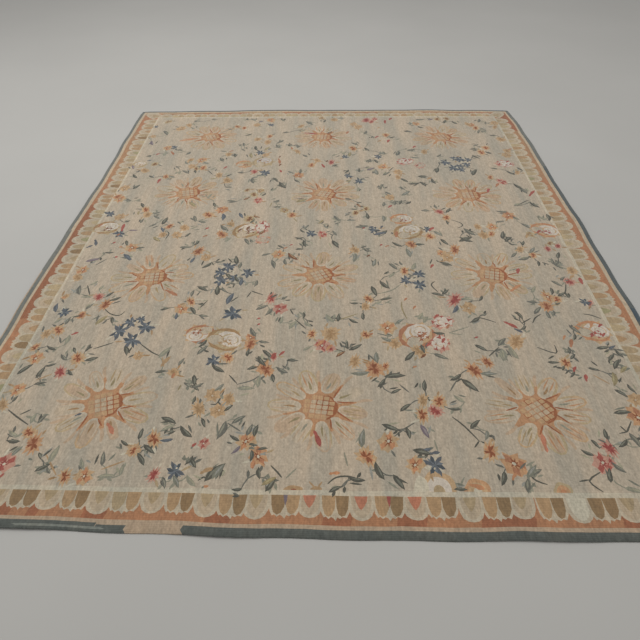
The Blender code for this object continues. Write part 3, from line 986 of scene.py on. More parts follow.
class Drawing:
    """Flat shapes in painting order, in metres from the middle of the CAD rug's box."""

    def __init__(self, sizes):
        noise.seed_set(WAVER_SEED)
        self.sizes = sizes
        self.outline = Outline(sizes)
        self.shapes = []
        self.tree = stamping_tree()
        self.seed = 0

    def add(self, points, dye, main=False):
        """Adds a shape given in chart coordinates; a main one also shows on the back."""
        shape = [Vector(point).xy - CHART_MIDDLE for point in points]
        self.shapes.append((shape, dye, main))

    def stamp(self, name, motif, rows, warped=False, main=0, ragged=1.0, grain=22.0):
        """Stamps a motif, a list of roles and outlines, on rows of place, turn and size.

        Columns of a row: x, y, turn in degrees, length and width, all in metres, and the
        dye of each role. The roles below main also show on the back. A warped motif
        follows the rug's uneven outline. Ragged and grain are the strength and the
        fineness of the waver.
        """
        self.seed += 1
        corners = []
        faces = []
        for _, points in motif:
            faces.append(range(len(corners), len(corners) + len(points)))
            corners.extend((x, y, 0.0) for x, y in points)
        pattern = bpy.data.meshes.new(name)
        pattern.from_pydata(corners, [], faces)
        stamper = bpy.data.objects.new(name, pattern)
        places = bpy.data.meshes.new(name + "_places")
        places.from_pydata([(row[0], row[1], 0.0) for row in rows], [], [])
        turns = places.attributes.new("turn", "FLOAT", "POINT")
        turns.data.foreach_set("value", [math.radians(row[2]) for row in rows])
        stretches = places.attributes.new("stretch", "FLOAT_VECTOR", "POINT")
        stretches.data.foreach_set(
            "vector", [v for row in rows for v in (row[3], row[4], 1.0)]
        )
        host = bpy.data.objects.new(name + "_places", places)
        for thing in (stamper, host):
            bpy.context.scene.collection.objects.link(thing)
        stamped = run_tree(
            host,
            self.tree,
            {
                "Motif": stamper,
                "Waver": self.sizes.waver * 2.0 * ragged,
                "Waver scale": grain,
                "Seed": self.seed * SEED_STEP,
            },
        )
        for index, polygon in enumerate(stamped.polygons):
            row = rows[index // len(motif)]
            role = motif[index % len(motif)][0]
            points = [stamped.vertices[i].co.xy for i in polygon.vertices]
            if warped:
                points = [self.outline.warp(point) for point in points]
            if row[5][role]:
                self.add(points, row[5][role], role < main)
        for thing in (stamper, host):
            bpy.data.objects.remove(thing)
        for mesh in (pattern, places, stamped):
            bpy.data.meshes.remove(mesh)


def lens(start, end, width, steps=6, bend=0.0, fullest=0.5):
    """A leaf-shaped outline along X, as wide as this at its fullest, bent to one side."""
    upper = []
    lower = []
    for step in range(steps + 1):
        share = step / steps
        x = start + (end - start) * share
        skewed = share ** (math.log(0.5) / math.log(fullest))
        half = 0.5 * width * math.sin(math.pi * skewed) ** 0.8 if 0 < step < steps else 0.0
        y = bend * (1.0 - (2.0 * share - 1.0) ** 2)
        upper.append((x, y + half))
        if 0 < step < steps:
            lower.append((x, y - half))
    return upper[::-1] + lower


def half_lens(start, end, width, steps=6, bend=0.0, fullest=0.5):
    """The upper half of a leaf-shaped outline, down to its middle line."""
    whole = lens(start, end, width, steps, bend, fullest)
    upper = whole[: steps + 1]
    middle = []
    for x, y in reversed(upper[1:-1]):
        share = (x - start) / (end - start)
        middle.append((x, bend * (1.0 - (2.0 * share - 1.0) ** 2) + 0.04 * width))
    return upper + middle


def disc(x, y, radius_x, radius_y, corners=8, turn=0.0):
    """An oval outline round a point."""
    points = []
    for corner in range(corners):
        angle = turn + 2.0 * math.pi * corner / corners
        points.append((x + radius_x * math.cos(angle), y + radius_y * math.sin(angle)))
    return points


def stroke(points, width, cuts=3):
    """Outline of a stroke through these points, thinner at its ends."""
    path = [Vector(point) for point in points]
    fine = [path[0]]
    for i in range(len(path) - 1):
        before = path[max(i - 1, 0)]
        after = path[min(i + 2, len(path) - 1)]
        for step in range(1, cuts + 1):
            t = step / cuts
            a, b = path[i], path[i + 1]
            fine.append(
                0.5
                * (
                    2 * a
                    + (b - before) * t
                    + (2 * before - 5 * a + 4 * b - after) * t * t
                    + (3 * a - before - 3 * b + after) * t * t * t
                )
            )
    left = []
    right = []
    for i, point in enumerate(fine):
        along = (fine[min(i + 1, len(fine) - 1)] - fine[max(i - 1, 0)]).normalized()
        side = Vector((-along.y, along.x))
        share = i / (len(fine) - 1)
        half = width * 0.5 * (0.45 + 0.55 * math.sin(math.pi * share))
        left.append(point + side * half)
        right.append(point - side * half)
    return left + right[::-1]


# How far the border's long lines and its stretches waver from the chart, the spacings at
# which they do, and the step between two points of a long line. Metres.
LINE_WAVER = 0.0016
LINE_WAVER_SPACING = 0.06
LINE_STEP = 0.022
STRETCH_WAVER = 0.0014
STRETCH_WAVER_SPACING = 0.05

# Woven steps at the ends of a stretch: share of its depth and shift along it, in mm.
END_STEPS = ((0.35, 6), (0.7, -5))
START_STEPS = ((0.7, -6), (0.35, 5))


def border_rectangle(drawing, line):
    """The border's line of this number, as an outline on the uneven rug."""
    depths = {side: lines[line] * MM for side, lines in BORDER_LINES.items()}
    outline = drawing.outline
    low = Vector((-outline.half_x + depths["left"], -outline.half_y + depths["near"]))
    high = Vector((outline.half_x - depths["right"], outline.half_y - depths["far"]))
    corners = (low, Vector((high.x, low.y)), high, Vector((low.x, high.y)))
    points = []
    for start, end in zip(corners, corners[1:] + corners[:1]):
        steps = round((end - start).length / LINE_STEP)
        for step in range(steps):
            point = start.lerp(end, step / steps)
            shift = waver(point.x, point.y + line, LINE_WAVER, LINE_WAVER_SPACING)
            points.append(outline.warp(point) + shift)
    return points


def border_stretch(drawing, row):
    """Outline of one stretch of border, with ragged ends as woven steps."""
    side, start, end, outer, inner, _ = row
    steps = max(2, round(abs(end - start) / 30))
    places = [(start + (end - start) * step / steps, outer) for step in range(steps + 1)]
    for share, shift in END_STEPS:
        places.append((end + shift, outer + (inner - outer) * share))
    for step in range(steps + 1):
        places.append((end + (start - end) * step / steps, inner))
    for share, shift in START_STEPS:
        places.append((start + shift, outer + (inner - outer) * share))
    outline = drawing.outline
    points = []
    for place, depth in places:
        point = outline.chart_point(side, place * MM, depth * MM)
        shift = waver(point.x, point.y, STRETCH_WAVER, STRETCH_WAVER_SPACING)
        points.append(outline.warp(point) + shift)
    return points


# Single border petal: foot on the ivory line at y = 0, tip at y = 1.
SINGLE_MOTIF = (
    (0, ((-0.52, -0.1), (0.52, -0.1), (0.51, 0.3), (0.47, 0.6), (0.36, 0.84), (0.2, 0.96),
         (0.0, 1.0), (-0.2, 0.96), (-0.36, 0.83), (-0.47, 0.58), (-0.51, 0.3))),
    (1, ((-0.38, 0.0), (0.4, 0.0), (0.38, 0.3), (0.31, 0.52), (0.17, 0.7), (0.03, 0.77),
         (-0.12, 0.74), (-0.26, 0.62), (-0.35, 0.45), (-0.39, 0.25))),
    (2, ((-0.25, 0.0), (0.28, 0.0), (0.2, 0.24), (0.1, 0.42), (0.02, 0.5), (-0.1, 0.38),
         (-0.19, 0.22))),
)

# Double border petal: two lobes, with a bud between their feet.
DOUBLE_MOTIF = (
    (0, ((-0.53, -0.1), (0.53, -0.1), (0.53, 0.4), (0.49, 0.66), (0.4, 0.83), (0.33, 0.79),
         (0.24, 0.88), (0.15, 0.81), (0.07, 0.85), (0.0, 0.95), (-0.06, 0.82), (-0.16, 0.87),
         (-0.24, 0.8), (-0.37, 0.84), (-0.48, 0.64), (-0.53, 0.38))),
    (1, ((-0.48, 0.0), (-0.01, 0.0), (-0.03, 0.4), (-0.1, 0.6), (-0.2, 0.68), (-0.33, 0.63),
         (-0.44, 0.42))),
    (2, ((-0.01, 0.0), (0.48, 0.0), (0.45, 0.38), (0.37, 0.6), (0.24, 0.69), (0.12, 0.62),
         (0.03, 0.42))),
    (3, ((-0.07, 0.0), (0.07, 0.0), (0.05, 0.2), (0.0, 0.4), (-0.05, 0.2))),
)

# Widths in mm of the single and the double petals, and their lengths as shares of the
# room between the ivory line and the beige guard.
SINGLE_WIDTHS = (74, 82)
SINGLE_REACHES = (0.78, 0.88)
DOUBLE_WIDTHS = (80, 88)
DOUBLE_REACHES = (0.86, 0.95)

# How far a petal's foot reaches under the ivory line, at the sides and the corners. Millimetres.
FOOT_TUCK = 2
CORNER_TUCK = 6

# Width and length of a corner petal, in metres.
CORNER_SIZE = (0.082, 0.104)

# The near petals have narrower rims, so their insides are longer by this share.
NEAR_FILL = 1.17


def draw_border(drawing):
    """Dark band, beige guard, terracotta band, border petals and ivory line."""
    for row in DARK_BAND:
        drawing.add(border_stretch(drawing, row), row[5], main=True)
    drawing.add(border_rectangle(drawing, 1), "terracotta", main=True)
    for row in RUST_STRETCHES:
        drawing.add(border_stretch(drawing, row), row[5])
    chance = random.Random(5)
    singles = []
    doubles = []
    for side, (first, step, count) in SINGLE_PETALS.items():
        foot = BORDER_LINES[side][2]
        reach = foot - BORDER_LINES[side][1]
        wedges = SINGLE_WEDGES[side]
        lobes = DOUBLE_LOBES[side]
        for number in range(count):
            place = first + step * number + chance.uniform(-5, 5)
            at = drawing.outline.chart_point(side, place * MM, (foot + FOOT_TUCK) * MM)
            wedge = wedges[number % len(wedges)]
            fill = "cream" if wedge == "cream" else "petal_fill"
            height = reach * chance.uniform(*SINGLE_REACHES) * MM
            width = chance.uniform(*SINGLE_WIDTHS) * MM
            dyes = ("petal_edge", fill, wedge)
            singles.append((at.x, at.y, PETAL_TURNS[side], width, height, dyes))
            if number == count - 1:
                continue
            place = first + step * (number + 0.5) + chance.uniform(-4, 4)
            at = drawing.outline.chart_point(side, place * MM, (foot + FOOT_TUCK) * MM)
            left, right, wedge = lobes[number % len(lobes)]
            middle = wedge if wedge in ("mauve", "crimson") else None
            width = chance.uniform(*DOUBLE_WIDTHS) * MM
            height = reach * chance.uniform(*DOUBLE_REACHES) * MM
            dyes = ("petal_edge", left, right, middle)
            doubles.append((at.x, at.y, PETAL_TURNS[side], width, height, dyes))
    for (x_side, y_side), turned in CORNER_PETALS.items():
        x = drawing.outline.half_x - (BORDER_LINES[x_side][2] - CORNER_TUCK) * MM
        y = drawing.outline.half_y - (BORDER_LINES[y_side][2] - CORNER_TUCK) * MM
        x = -x if x_side == "left" else x
        y = -y if y_side == "near" else y
        singles.append((x, y, turned, *CORNER_SIZE, ("petal_edge", "petal_fill", "khaki")))
    for name, motif, rows in (("single", SINGLE_MOTIF, singles), ("double", DOUBLE_MOTIF, doubles)):
        near = [row for row in rows if row[2] == PETAL_TURNS["near"]]
        others = [row for row in rows if row[2] != PETAL_TURNS["near"]]
        rim, *insides = motif
        longer = [(role, [(x, y * NEAR_FILL) for x, y in shape]) for role, shape in insides]
        drawing.stamp(name + "_near", [rim, *longer], near, True, main=1, ragged=1.3, grain=38.0)
        drawing.stamp(name + "_petal", motif, others, True, main=1, ragged=1.3, grain=38.0)
    drawing.add(border_rectangle(drawing, 2), "ivory", main=True)
    drawing.add(border_rectangle(drawing, 3), "ground", main=True)


# Sunflower petal: rounded foot at x = 0, open end at x = 1.
SUN_PETAL_MOTIF = (
    (5, ((0.3, -0.5), (0.6, -0.56), (0.9, -0.46), (1.05, -0.2), (1.06, 0.14), (0.92, 0.44),
         (0.6, 0.56), (0.3, 0.5))),
    (0, ((0.0, 0.0), (0.04, -0.24), (0.12, -0.4), (0.3, -0.48), (0.6, -0.46), (0.86, -0.3),
         (0.86, 0.3), (0.6, 0.46), (0.3, 0.48), (0.12, 0.4), (0.04, 0.24))),
    (1, ((0.08, 0.0), (0.12, -0.18), (0.2, -0.3), (0.36, -0.37), (0.66, -0.4), (0.94, -0.3),
         (1.0, 0.0), (0.94, 0.3), (0.66, 0.4), (0.36, 0.37), (0.2, 0.3), (0.12, 0.18))),
    (2, ((0.17, 0.03), (0.26, -0.08), (0.42, -0.09), (0.6, 0.01), (0.42, 0.05), (0.26, 0.1))),
    (3, ((0.3, 0.18), (0.6, 0.28), (1.04, 0.22), (0.62, 0.15))),
    (3, ((0.34, -0.19), (0.6, -0.28), (1.0, -0.18), (0.62, -0.15))),
    (4, ((0.2, 0.46), (0.5, 0.64), (0.94, 0.52), (0.55, 0.46))),
    (4, ((0.24, -0.48), (0.5, -0.64), (0.9, -0.54), (0.55, -0.46))),
)

# Cell of the sunflower's heart: an outline in one dye with a cream middle.
CELL_MOTIF = (
    (0, ((-0.5, -0.5), (0.5, -0.5), (0.5, 0.5), (-0.5, 0.5))),
    (1, ((-0.38, -0.27), (-0.26, -0.37), (0.27, -0.37), (0.38, -0.24), (0.37, 0.28),
         (0.26, 0.37), (-0.28, 0.37), (-0.38, 0.26))),
)


def ray_points(middle, rays):
    """Points round a middle from rows of angle in degrees and distance."""
    points = []
    for angle, radius in rays:
        radians = math.radians(angle)
        points.append(middle + Vector((math.cos(radians), math.sin(radians))) * radius)
    return points


# Sides of one tip of the star behind a sunflower: turn from the tip in degrees and
# distance from the middle in metres. The notches are the star's places between two tips.
STAR_SIDES = ((13, 0.073), (8.5, 0.085), (4.5, 0.1))
STAR_NOTCH = 0.064

# Radius of the heart, and the spacing and reach of the cells in it. Metres.
HEART_RADIUS = 0.058
CELL_SPACING = 0.0205
CELL_REACH = 0.047


def sunflower_star(middle, angles, chance):
    """Outline of the star behind a sunflower, and the strokes on its tips."""
    outline = []
    strokes = []
    for angle, after in zip(angles, angles[1:] + [angles[0] + 360.0]):
        gap = (angle + after) / 2
        tip = chance.uniform(0.118, 0.15)
        rays = [(angle, STAR_NOTCH)]
        rays.extend((gap - turn, radius) for turn, radius in STAR_SIDES)
        rays.append((gap, tip))
        rays.extend((gap + turn, radius) for turn, radius in reversed(STAR_SIDES))
        outline.extend(ray_points(middle, rays))
        rays = ((gap, tip - 0.02), (gap + 1.5, tip + 0.01), (gap, tip + 0.035))
        strokes.append((ray_points(middle, rays), 0.013, "sun_peach"))
        if math.cos(math.radians(gap + 10)) > 0.5 or chance.random() < 0.3:
            side = chance.choice((-1, 1))
            rays = ((gap + 12 * side, 0.063), (gap + 6 * side, 0.078), (gap, tip - 0.03))
            strokes.append((ray_points(middle, rays), 0.0065, "sun_rust"))
    return outline, strokes


def sunflower_petals(middle, angles, reach, peach_share, chance):
    """Place, turn, size and dyes of each petal of one sunflower."""
    petals = []
    for angle in angles:
        foot = chance.uniform(0.056, 0.064)
        at = ray_points(middle, ((angle, foot),))[0]
        length = reach * chance.uniform(0.86, 0.99) - foot
        width = chance.uniform(0.043, 0.053)
        fill = "sun_peach" if chance.random() < peach_share else "sun_petal"
        mark = chance.choice(("olive", "ochre", "olive", "sun_ochre", "sage"))
        lean = angle + chance.uniform(-6, 6)
        lines = chance.choice(("sun_ochre", "sun_star", "sun_peach", None))
        rays = chance.choice(("sun_peach", None, "khaki_light"))
        outer = chance.choice(("sun_peach", "khaki_light", "peach_light", None))
        dyes = ("sun_cream", fill, mark, lines, rays, outer)
        petals.append((at.x, at.y, lean, length, width, dyes))
    return petals


def heart_cells(middle, lean, chance):
    """Place, turn, size and dyes of each cell of one sunflower's heart."""
    cells = []
    for column in range(-2, 3):
        for row in range(-2, 3):
            place = Vector((column, row)) * CELL_SPACING
            if place.length > CELL_REACH:
                continue
            place.rotate(Matrix.Rotation(math.radians(lean), 2))
            rim = "sun_rust" if place.x > 0.018 or chance.random() < 0.1 else "sun_line"
            inside = "sun_cell" if place.length < 0.04 else "sun_heart"
            at = middle + place
            size = chance.uniform(0.022, 0.024)
            cells.append((at.x, at.y, lean, size, size, (rim, inside)))
    return cells


def draw_sunflowers(drawing):
    """Star, petals, heart and cells of each sunflower."""
    count = drawing.sizes.sunflower_petals
    reach = drawing.sizes.sunflower_reach
    chance = random.Random(11)
    petals = []
    cells = []
    strokes = []
    for x, y, turn, peach_share in SUNFLOWERS:
        middle = Vector((x, y)) * MM
        angles = [turn + 360.0 * number / count + chance.uniform(-7, 7) for number in range(count)]
        star, star_strokes = sunflower_star(middle, angles, chance)
        drawing.add(star, "sun_star", main=True)
        strokes.extend(star_strokes)
        arc = ray_points(middle, [(angle, HEART_RADIUS) for angle in range(-70, 61, 26)])
        drawing.add(stroke(arc, 0.011), "sun_rust")
        petals.extend(sunflower_petals(middle, angles, reach, peach_share, chance))
        cells.extend(heart_cells(middle, turn * 1.5, chance))
    drawing.stamp("sunflower_petal", SUN_PETAL_MOTIF, petals, main=1, ragged=1.8, grain=34.0)
    for points, width, dye in strokes:
        drawing.add(stroke(points, width), dye)
    drawing.stamp("heart_cell", CELL_MOTIF, cells, ragged=1.4, grain=50.0)


# Leaves, one unit long, with a darker body and a lighter upper half.
LEAF_MOTIFS = (
    ((0, lens(-0.5, 0.5, 1.0, 5, 0.12, 0.45)), (1, half_lens(-0.36, 0.42, 0.7, 3, 0.1, 0.45))),
    ((0, lens(-0.5, 0.5, 1.0, 5, -0.25, 0.55)), (1, half_lens(-0.3, 0.4, 0.6, 3, -0.2, 0.5))),
    ((0, lens(-0.5, 0.5, 1.0, 5, 0.0, 0.4)), (1, lens(-0.28, 0.36, 0.4, 3, 0.1, 0.5))),
)

BUD_MOTIF = ((0, lens(-0.5, 0.5, 1.0, 5, 0.1, 0.62)), (1, lens(-0.5, -0.12, 0.7, 3, 0.05, 0.5)))


def ray_lens(angle, start, end, width, bend=0.02, fullest=0.6):
    """A leaf-shaped petal from one distance to another, at this angle."""
    cos = math.cos(math.radians(angle))
    sin = math.sin(math.radians(angle))
    outline = lens(start, end, width, 3, bend, fullest)
    return [(x * cos - y * sin, x * sin + y * cos) for x, y in outline]


def fringe(arms, inner, outer, seed, shift=(0.0, 0.0), squash=1.0):
    """A star outline round a shifted middle, with arms of uneven length and spacing."""
    chance = random.Random(seed)
    points = []
    for corner in range(arms * 2):
        angle = math.pi * (corner + chance.uniform(-0.35, 0.35)) / arms
        radius = inner if corner % 2 else outer
        radius *= chance.uniform(0.72, 1.05)
        x = shift[0] + radius * math.cos(angle)
        y = shift[1] + radius * math.sin(angle) * squash
        points.append((x, y))
    return points


def fringed_blossom(seed, squash):
    """A long ragged blossom: soft fringe, middle and dark strokes at its heart."""
    strokes = [(3, ray_lens(angle, -0.04, 0.3, 0.12, 0.03)) for angle in (8, 95, 170, 215, 330)]
    return (
        (1, fringe(11, 0.4, 0.6, seed, (0.0, 0.0), squash)),
        (0, fringe(9, 0.22, 0.42, seed + 10, (0.03, 0.02), squash)),
        *strokes,
        (1, ray_lens(125, 0.1, 0.34, 0.1)),
        (1, ray_lens(285, 0.12, 0.36, 0.1)),
    )


def lobed_blossom(seed):
    """A round blossom: soft fringe, uneven lobes, a dark ragged core and a pale eye."""
    chance = random.Random(seed)
    lobes = []
    for number in range(3):
        angle = math.radians(130 * number + chance.uniform(-15, 15))
        shift = (0.26 * math.cos(angle), 0.26 * math.sin(angle))
        lobes.append((0, fringe(4, 0.15, 0.25, seed + number, shift, 0.8)))
    return (
        (1, fringe(7, 0.42, 0.57, seed + 4)),
        *lobes,
        (3, fringe(7, 0.12, 0.32, seed + 5, (0.03, -0.02), 0.8)),
        (2, disc(0.04, 0.0, 0.08, 0.075, 5)),
    )


BLOSSOM_MOTIFS = (fringed_blossom(1, 0.8), lobed_blossom(2), fringed_blossom(3, 0.95))

CORNFLOWER_MOTIF = (
    (1, fringe(8, 0.27, 0.46, 41)),
    (2, ray_lens(38, 0.16, 0.5, 0.15)),
    (2, ray_lens(158, 0.16, 0.48, 0.15)),
    (2, ray_lens(275, 0.16, 0.5, 0.15)),
    (0, ray_lens(15, 0.02, 0.54, 0.19)),
    (3, ray_lens(62, 0.02, 0.48, 0.19)),
    (0, ray_lens(127, 0.02, 0.56, 0.19)),
    (3, ray_lens(188, 0.02, 0.44, 0.19)),
    (0, ray_lens(241, 0.02, 0.58, 0.19)),
    (3, ray_lens(310, 0.02, 0.5, 0.19)),
    (2, disc(0.13, -0.1, 0.06, 0.055, 4)),
)


def ring_arc(radius, width, first, last, steps=6, middle=(0.0, 0.0)):
    """Part of a ring round a middle, thinner at its ends, from one angle to another."""
    outer = []
    inner = []
    for step in range(steps + 1):
        share = step / steps
        angle = math.radians(first + (last - first) * share)
        half = 0.5 * width * (0.25 + 0.75 * math.sin(math.pi * share))
        for arc, reach in ((outer, radius + half), (inner, radius - half)):
            arc.append((middle[0] + reach * math.cos(angle), middle[1] + reach * math.sin(angle)))
    return outer + inner[::-1]


def specks(rows, arms, inner, squash):
    """Ragged specks of the heart's dye: angle, distance from the middle and size of each."""
    found = []
    for angle, reach, size in rows:
        shift = (reach * math.cos(math.radians(angle)), reach * math.sin(math.radians(angle)))
        found.append((2, fringe(arms, size * inner, size * 1.2, angle, shift, squash)))
    return found


# An open rose one unit wide: soft rim, outlines, two lobes with folds and a speckled heart.
ROSE_MOTIF = (
    (3, fringe(10, 0.43, 0.58, 51)),
    (0, ring_arc(0.41, 0.14, 48, 160, 5)),
    (0, ring_arc(0.43, 0.13, 140, 226, 4)),
    (0, ring_arc(0.42, 0.13, 206, 300, 4)),
    (0, ring_arc(0.43, 0.1, 284, 350, 3)),
    (1, disc(0.08, 0.07, 0.35, 0.31, 9, 0.3)),
    (4, disc(-0.2, -0.16, 0.22, 0.2, 8, 0.3)),
    (0, ring_arc(0.2, 0.035, 20, 150, 5, (-0.2, -0.14))),
    (3, ring_arc(0.24, 0.05, 110, 215, 5, (0.14, 0.06))),
    (3, ring_arc(0.16, 0.04, -50, 95, 5, (0.16, 0.08))),
    (4, ring_arc(0.08, 0.05, 60, 240, 4, (0.1, 0.1))),
    *specks(
        (
            (300, 0.08, 0.12), (335, 0.2, 0.1), (262, 0.2, 0.1), (15, 0.12, 0.07),
            (300, 0.28, 0.08),
        ),
        4, 0.45, 0.8,
    ),
)

# A small rose one unit wide: pale wool broken up by ragged specks of the heart's dye.
SPECKLED_ROSE_MOTIF = (
    (0, fringe(9, 0.42, 0.56, 61)),
    (1, disc(0.02, 0.02, 0.38, 0.35, 9)),
    *specks(
        (
            (20, 0.31, 0.2), (82, 0.36, 0.14), (130, 0.2, 0.11), (168, 0.37, 0.16),
            (222, 0.3, 0.2), (285, 0.37, 0.13), (318, 0.17, 0.14),
        ),
        3, 0.4, 0.7,
    ),
    (3, ring_arc(0.2, 0.04, 100, 260, 4)),
)

# One small leaf in one dye, used for leaflets, sepals and shoots.
BLADE_MOTIF = ((0, lens(-0.5, 0.5, 1.0, 3)),)


def half_flower_motif():
    """Half a flower on its foot line: outline, inside and heart, foot at y = 0."""
    arcs = []
    for radius_x, radius_y, scallops in ((0.5, 1.0, 0.12), (0.36, 0.72, 0.05), (0.16, 0.34, 0.0)):
        arc = []
        for step in range(13):
            angle = math.pi * step / 12
            grown = 1.0 + scallops * (abs(math.sin(2.5 * angle)) - 0.5)
            arc.append((radius_x * grown * math.cos(angle), radius_y * grown * math.sin(angle)))
        arcs.append(arc)
    return tuple(enumerate(arcs))


# A twig spans a gap between these lengths, and keeps off the sunflowers' middles. Millimetres.
TWIG_GAPS = (24, 95)
SUNFLOWER_CLEARANCE = 150

# How far a twig bows out, as a share of its length.
TWIG_BOW = 0.16

# Widths of twigs and stems, in metres.
TWIG_WIDTH = 0.0052
STEM_WIDTH = 0.0062

# Leaflets on the twigs: dyes and lengths in turn, width, distance from the twig and the
# angle between the two. Metres and degrees.
LEAFLET_DYES = ("slate", "grey", "slate_light")
LEAFLET_LENGTHS = (0.026, 0.031, 0.023)
LEAFLET_WIDTH = 0.0105
LEAFLET_GAP = 0.015
LEAFLET_ANGLE = 42


def twigs():
    """Short bent twigs in grey and sage, each from a leaf's foot to what grows nearest."""
    grown = [(x, y) for rows in BLOSSOMS.values() for x, y, _ in rows]
    grown.extend((row[0], row[1]) for row in ROSES)
    leaves = [(row, dye) for dye, rows in LEAVES.items() for row in rows]
    grown.extend((row[0], row[1]) for row, _ in leaves)
    shortest, longest = TWIG_GAPS
    found = []
    for (x, y, turned, length), dye in leaves:
        along = Vector((math.cos(math.radians(turned)), math.sin(math.radians(turned))))
        best = None
        for foot in (Vector((x, y)) - along * length / 2, Vector((x, y)) + along * length / 2):
            for place in grown:
                gap = (Vector(place) - foot).length
                near = shortest < gap < longest and (best is None or gap < best[0])
                if near and (x, y) != place:
                    best = (gap, foot, Vector(place))
        if best is None:
            continue
        _, foot, place = best
        middle = foot.lerp(place, 0.5) + (place - foot).orthogonal() * TWIG_BOW
        if all((Vector(row[:2]) - middle).length > SUNFLOWER_CLEARANCE for row in SUNFLOWERS):
            tone = "grey" if dye in ("slate", "navy") else "sage"
            found.append(([foot * MM, middle * MM, place * MM], tone))
    return found


def draw_stems(drawing):
    """Twigs with leaflets, and the longer stems."""
    leaflets = []
    for number, (points, dye) in enumerate(twigs()):
        drawing.add(stroke(points, TWIG_WIDTH, 2), dye)
        heading = math.degrees(math.atan2(*reversed(points[2] - points[0])))
        ends = ((points[1], 1 - 2 * (number % 2)), (points[2], 0.6))
        for start, side in ends[number % 2 :]:
            turned = heading + LEAFLET_ANGLE * side
            middle = ray_points(start, ((turned, LEAFLET_GAP),))[0]
            tone = LEAFLET_DYES[number % 3] if dye == "grey" else "sage"
            length = LEAFLET_LENGTHS[number % 3]
            leaflets.append((middle.x, middle.y, turned, length, LEAFLET_WIDTH, (tone,)))
    drawing.stamp("leaflet", BLADE_MOTIF, leaflets, ragged=1.2, grain=60.0)
    for dye, stems in STEMS.items():
        for stem in stems:
            drawing.add(stroke([Vector(point) * MM for point in stem], STEM_WIDTH), dye)


# A rose's ragged rim reaches less far than its chart, so the motif is this much larger.
ROSE_SPREAD = 1.12


def draw_roses(drawing):
    """Open roses, speckled roses and the half flowers on the near ivory line."""
    roses = []
    speckled = []
    for x, y, turn, width, height, rim, inside, heart in ROSES:
        dyes = (rim, inside, heart, ROSE_SHADES[rim], "sun_petal")
        width *= ROSE_SPREAD
        height *= ROSE_SPREAD
        kind = speckled if rim == "pink" else roses
        kind.append((x * MM, y * MM, turn, width * MM, height * MM, dyes))
    drawing.stamp("rose", ROSE_MOTIF, roses, ragged=2.0, grain=40.0)
    drawing.stamp("speckled_rose", SPECKLED_ROSE_MOTIF, speckled, ragged=2.0, grain=50.0)
    halves = []
    for x, y, width, height, rim, inside, heart in HALF_FLOWERS:
        dyes = (rim, inside, heart)
        halves.append((x * MM, y * MM, 0.0, width * MM, height * MM, dyes))
    drawing.stamp("half_flower", half_flower_motif(), halves, ragged=1.5)


# A blossom's soft fringe makes it this much wider than its chart, in mm.
FRINGE_SPREAD = 8

# Sepals: their dyes, width and lengths, and their place from the blossom's middle as a
# share of its size. Metres.
SEPAL_DYES = ("khaki", "tan", "cream", "cream", "grey", "sage", "ochre")
SEPAL_WIDTH = 0.009
SEPAL_LENGTHS = (0.024, 0.042)
SEPAL_PLACE = 0.62


def draw_blossoms(drawing):
    """Small blossoms, each over two sepals."""
    blossoms = ([], [], [], [])
    sepals = []
    chance = random.Random(7)
    for dye, rows in BLOSSOMS.items():
        for number, (x, y, width) in enumerate(rows):
            kind = 3 if dye == "navy" else number % 3
            size = (width + FRINGE_SPREAD) * MM
            turn = 90 + 180 * (number % 2) + chance.uniform(-32, 32)
            length = size * chance.uniform(1.1, 1.35)
            across = size * chance.uniform(0.86, 1.04)
            blossoms[kind].append((x * MM, y * MM, turn, length, across, BLOSSOM_DYES[dye]))
            for angle in (chance.uniform(0, 180), chance.uniform(180, 360)):
                at = ray_points(Vector((x, y)) * MM, ((angle, size * SEPAL_PLACE),))[0]
                tone = chance.choice(SEPAL_DYES)
                reach = chance.uniform(*SEPAL_LENGTHS)
                lean = angle + chance.uniform(-40, 40)
                sepals.append((at.x, at.y, lean, reach, SEPAL_WIDTH, (tone,)))
    drawing.stamp("sepal", BLADE_MOTIF, sepals, ragged=1.6, grain=60.0)
    for number, motif in enumerate((*BLOSSOM_MOTIFS, CORNFLOWER_MOTIF)):
        drawing.stamp(f"blossom_{number}", motif, blossoms[number], ragged=2.8, grain=62.0)


# A leaf's ends are thin, so it is drawn longer than charted: by this share and this many
# mm more. Its width is a share of its length, but not less than this many mm.
LEAF_SPREAD = 1.15
LEAF_TIPS = 4
LEAF_WIDTH_SHARE = 0.3
LEAST_LEAF_WIDTH = 11.0

# Shoots beside the leaves: their dyes, width and farthest place beside the leaf, in
# metres, and their lengths as shares of the leaf's.
SHOOT_DYES = ("sage", "sage_light", "slate_light", "teal", "grey", "slate")
SHOOT_WIDTH = 0.008
SHOOT_REACH = 0.03
SHOOT_SHARES = (0.45, 0.8)

# Rows farther than this from the middle, in mm, have one shoot more to each leaf.
FAR_ROWS = 300


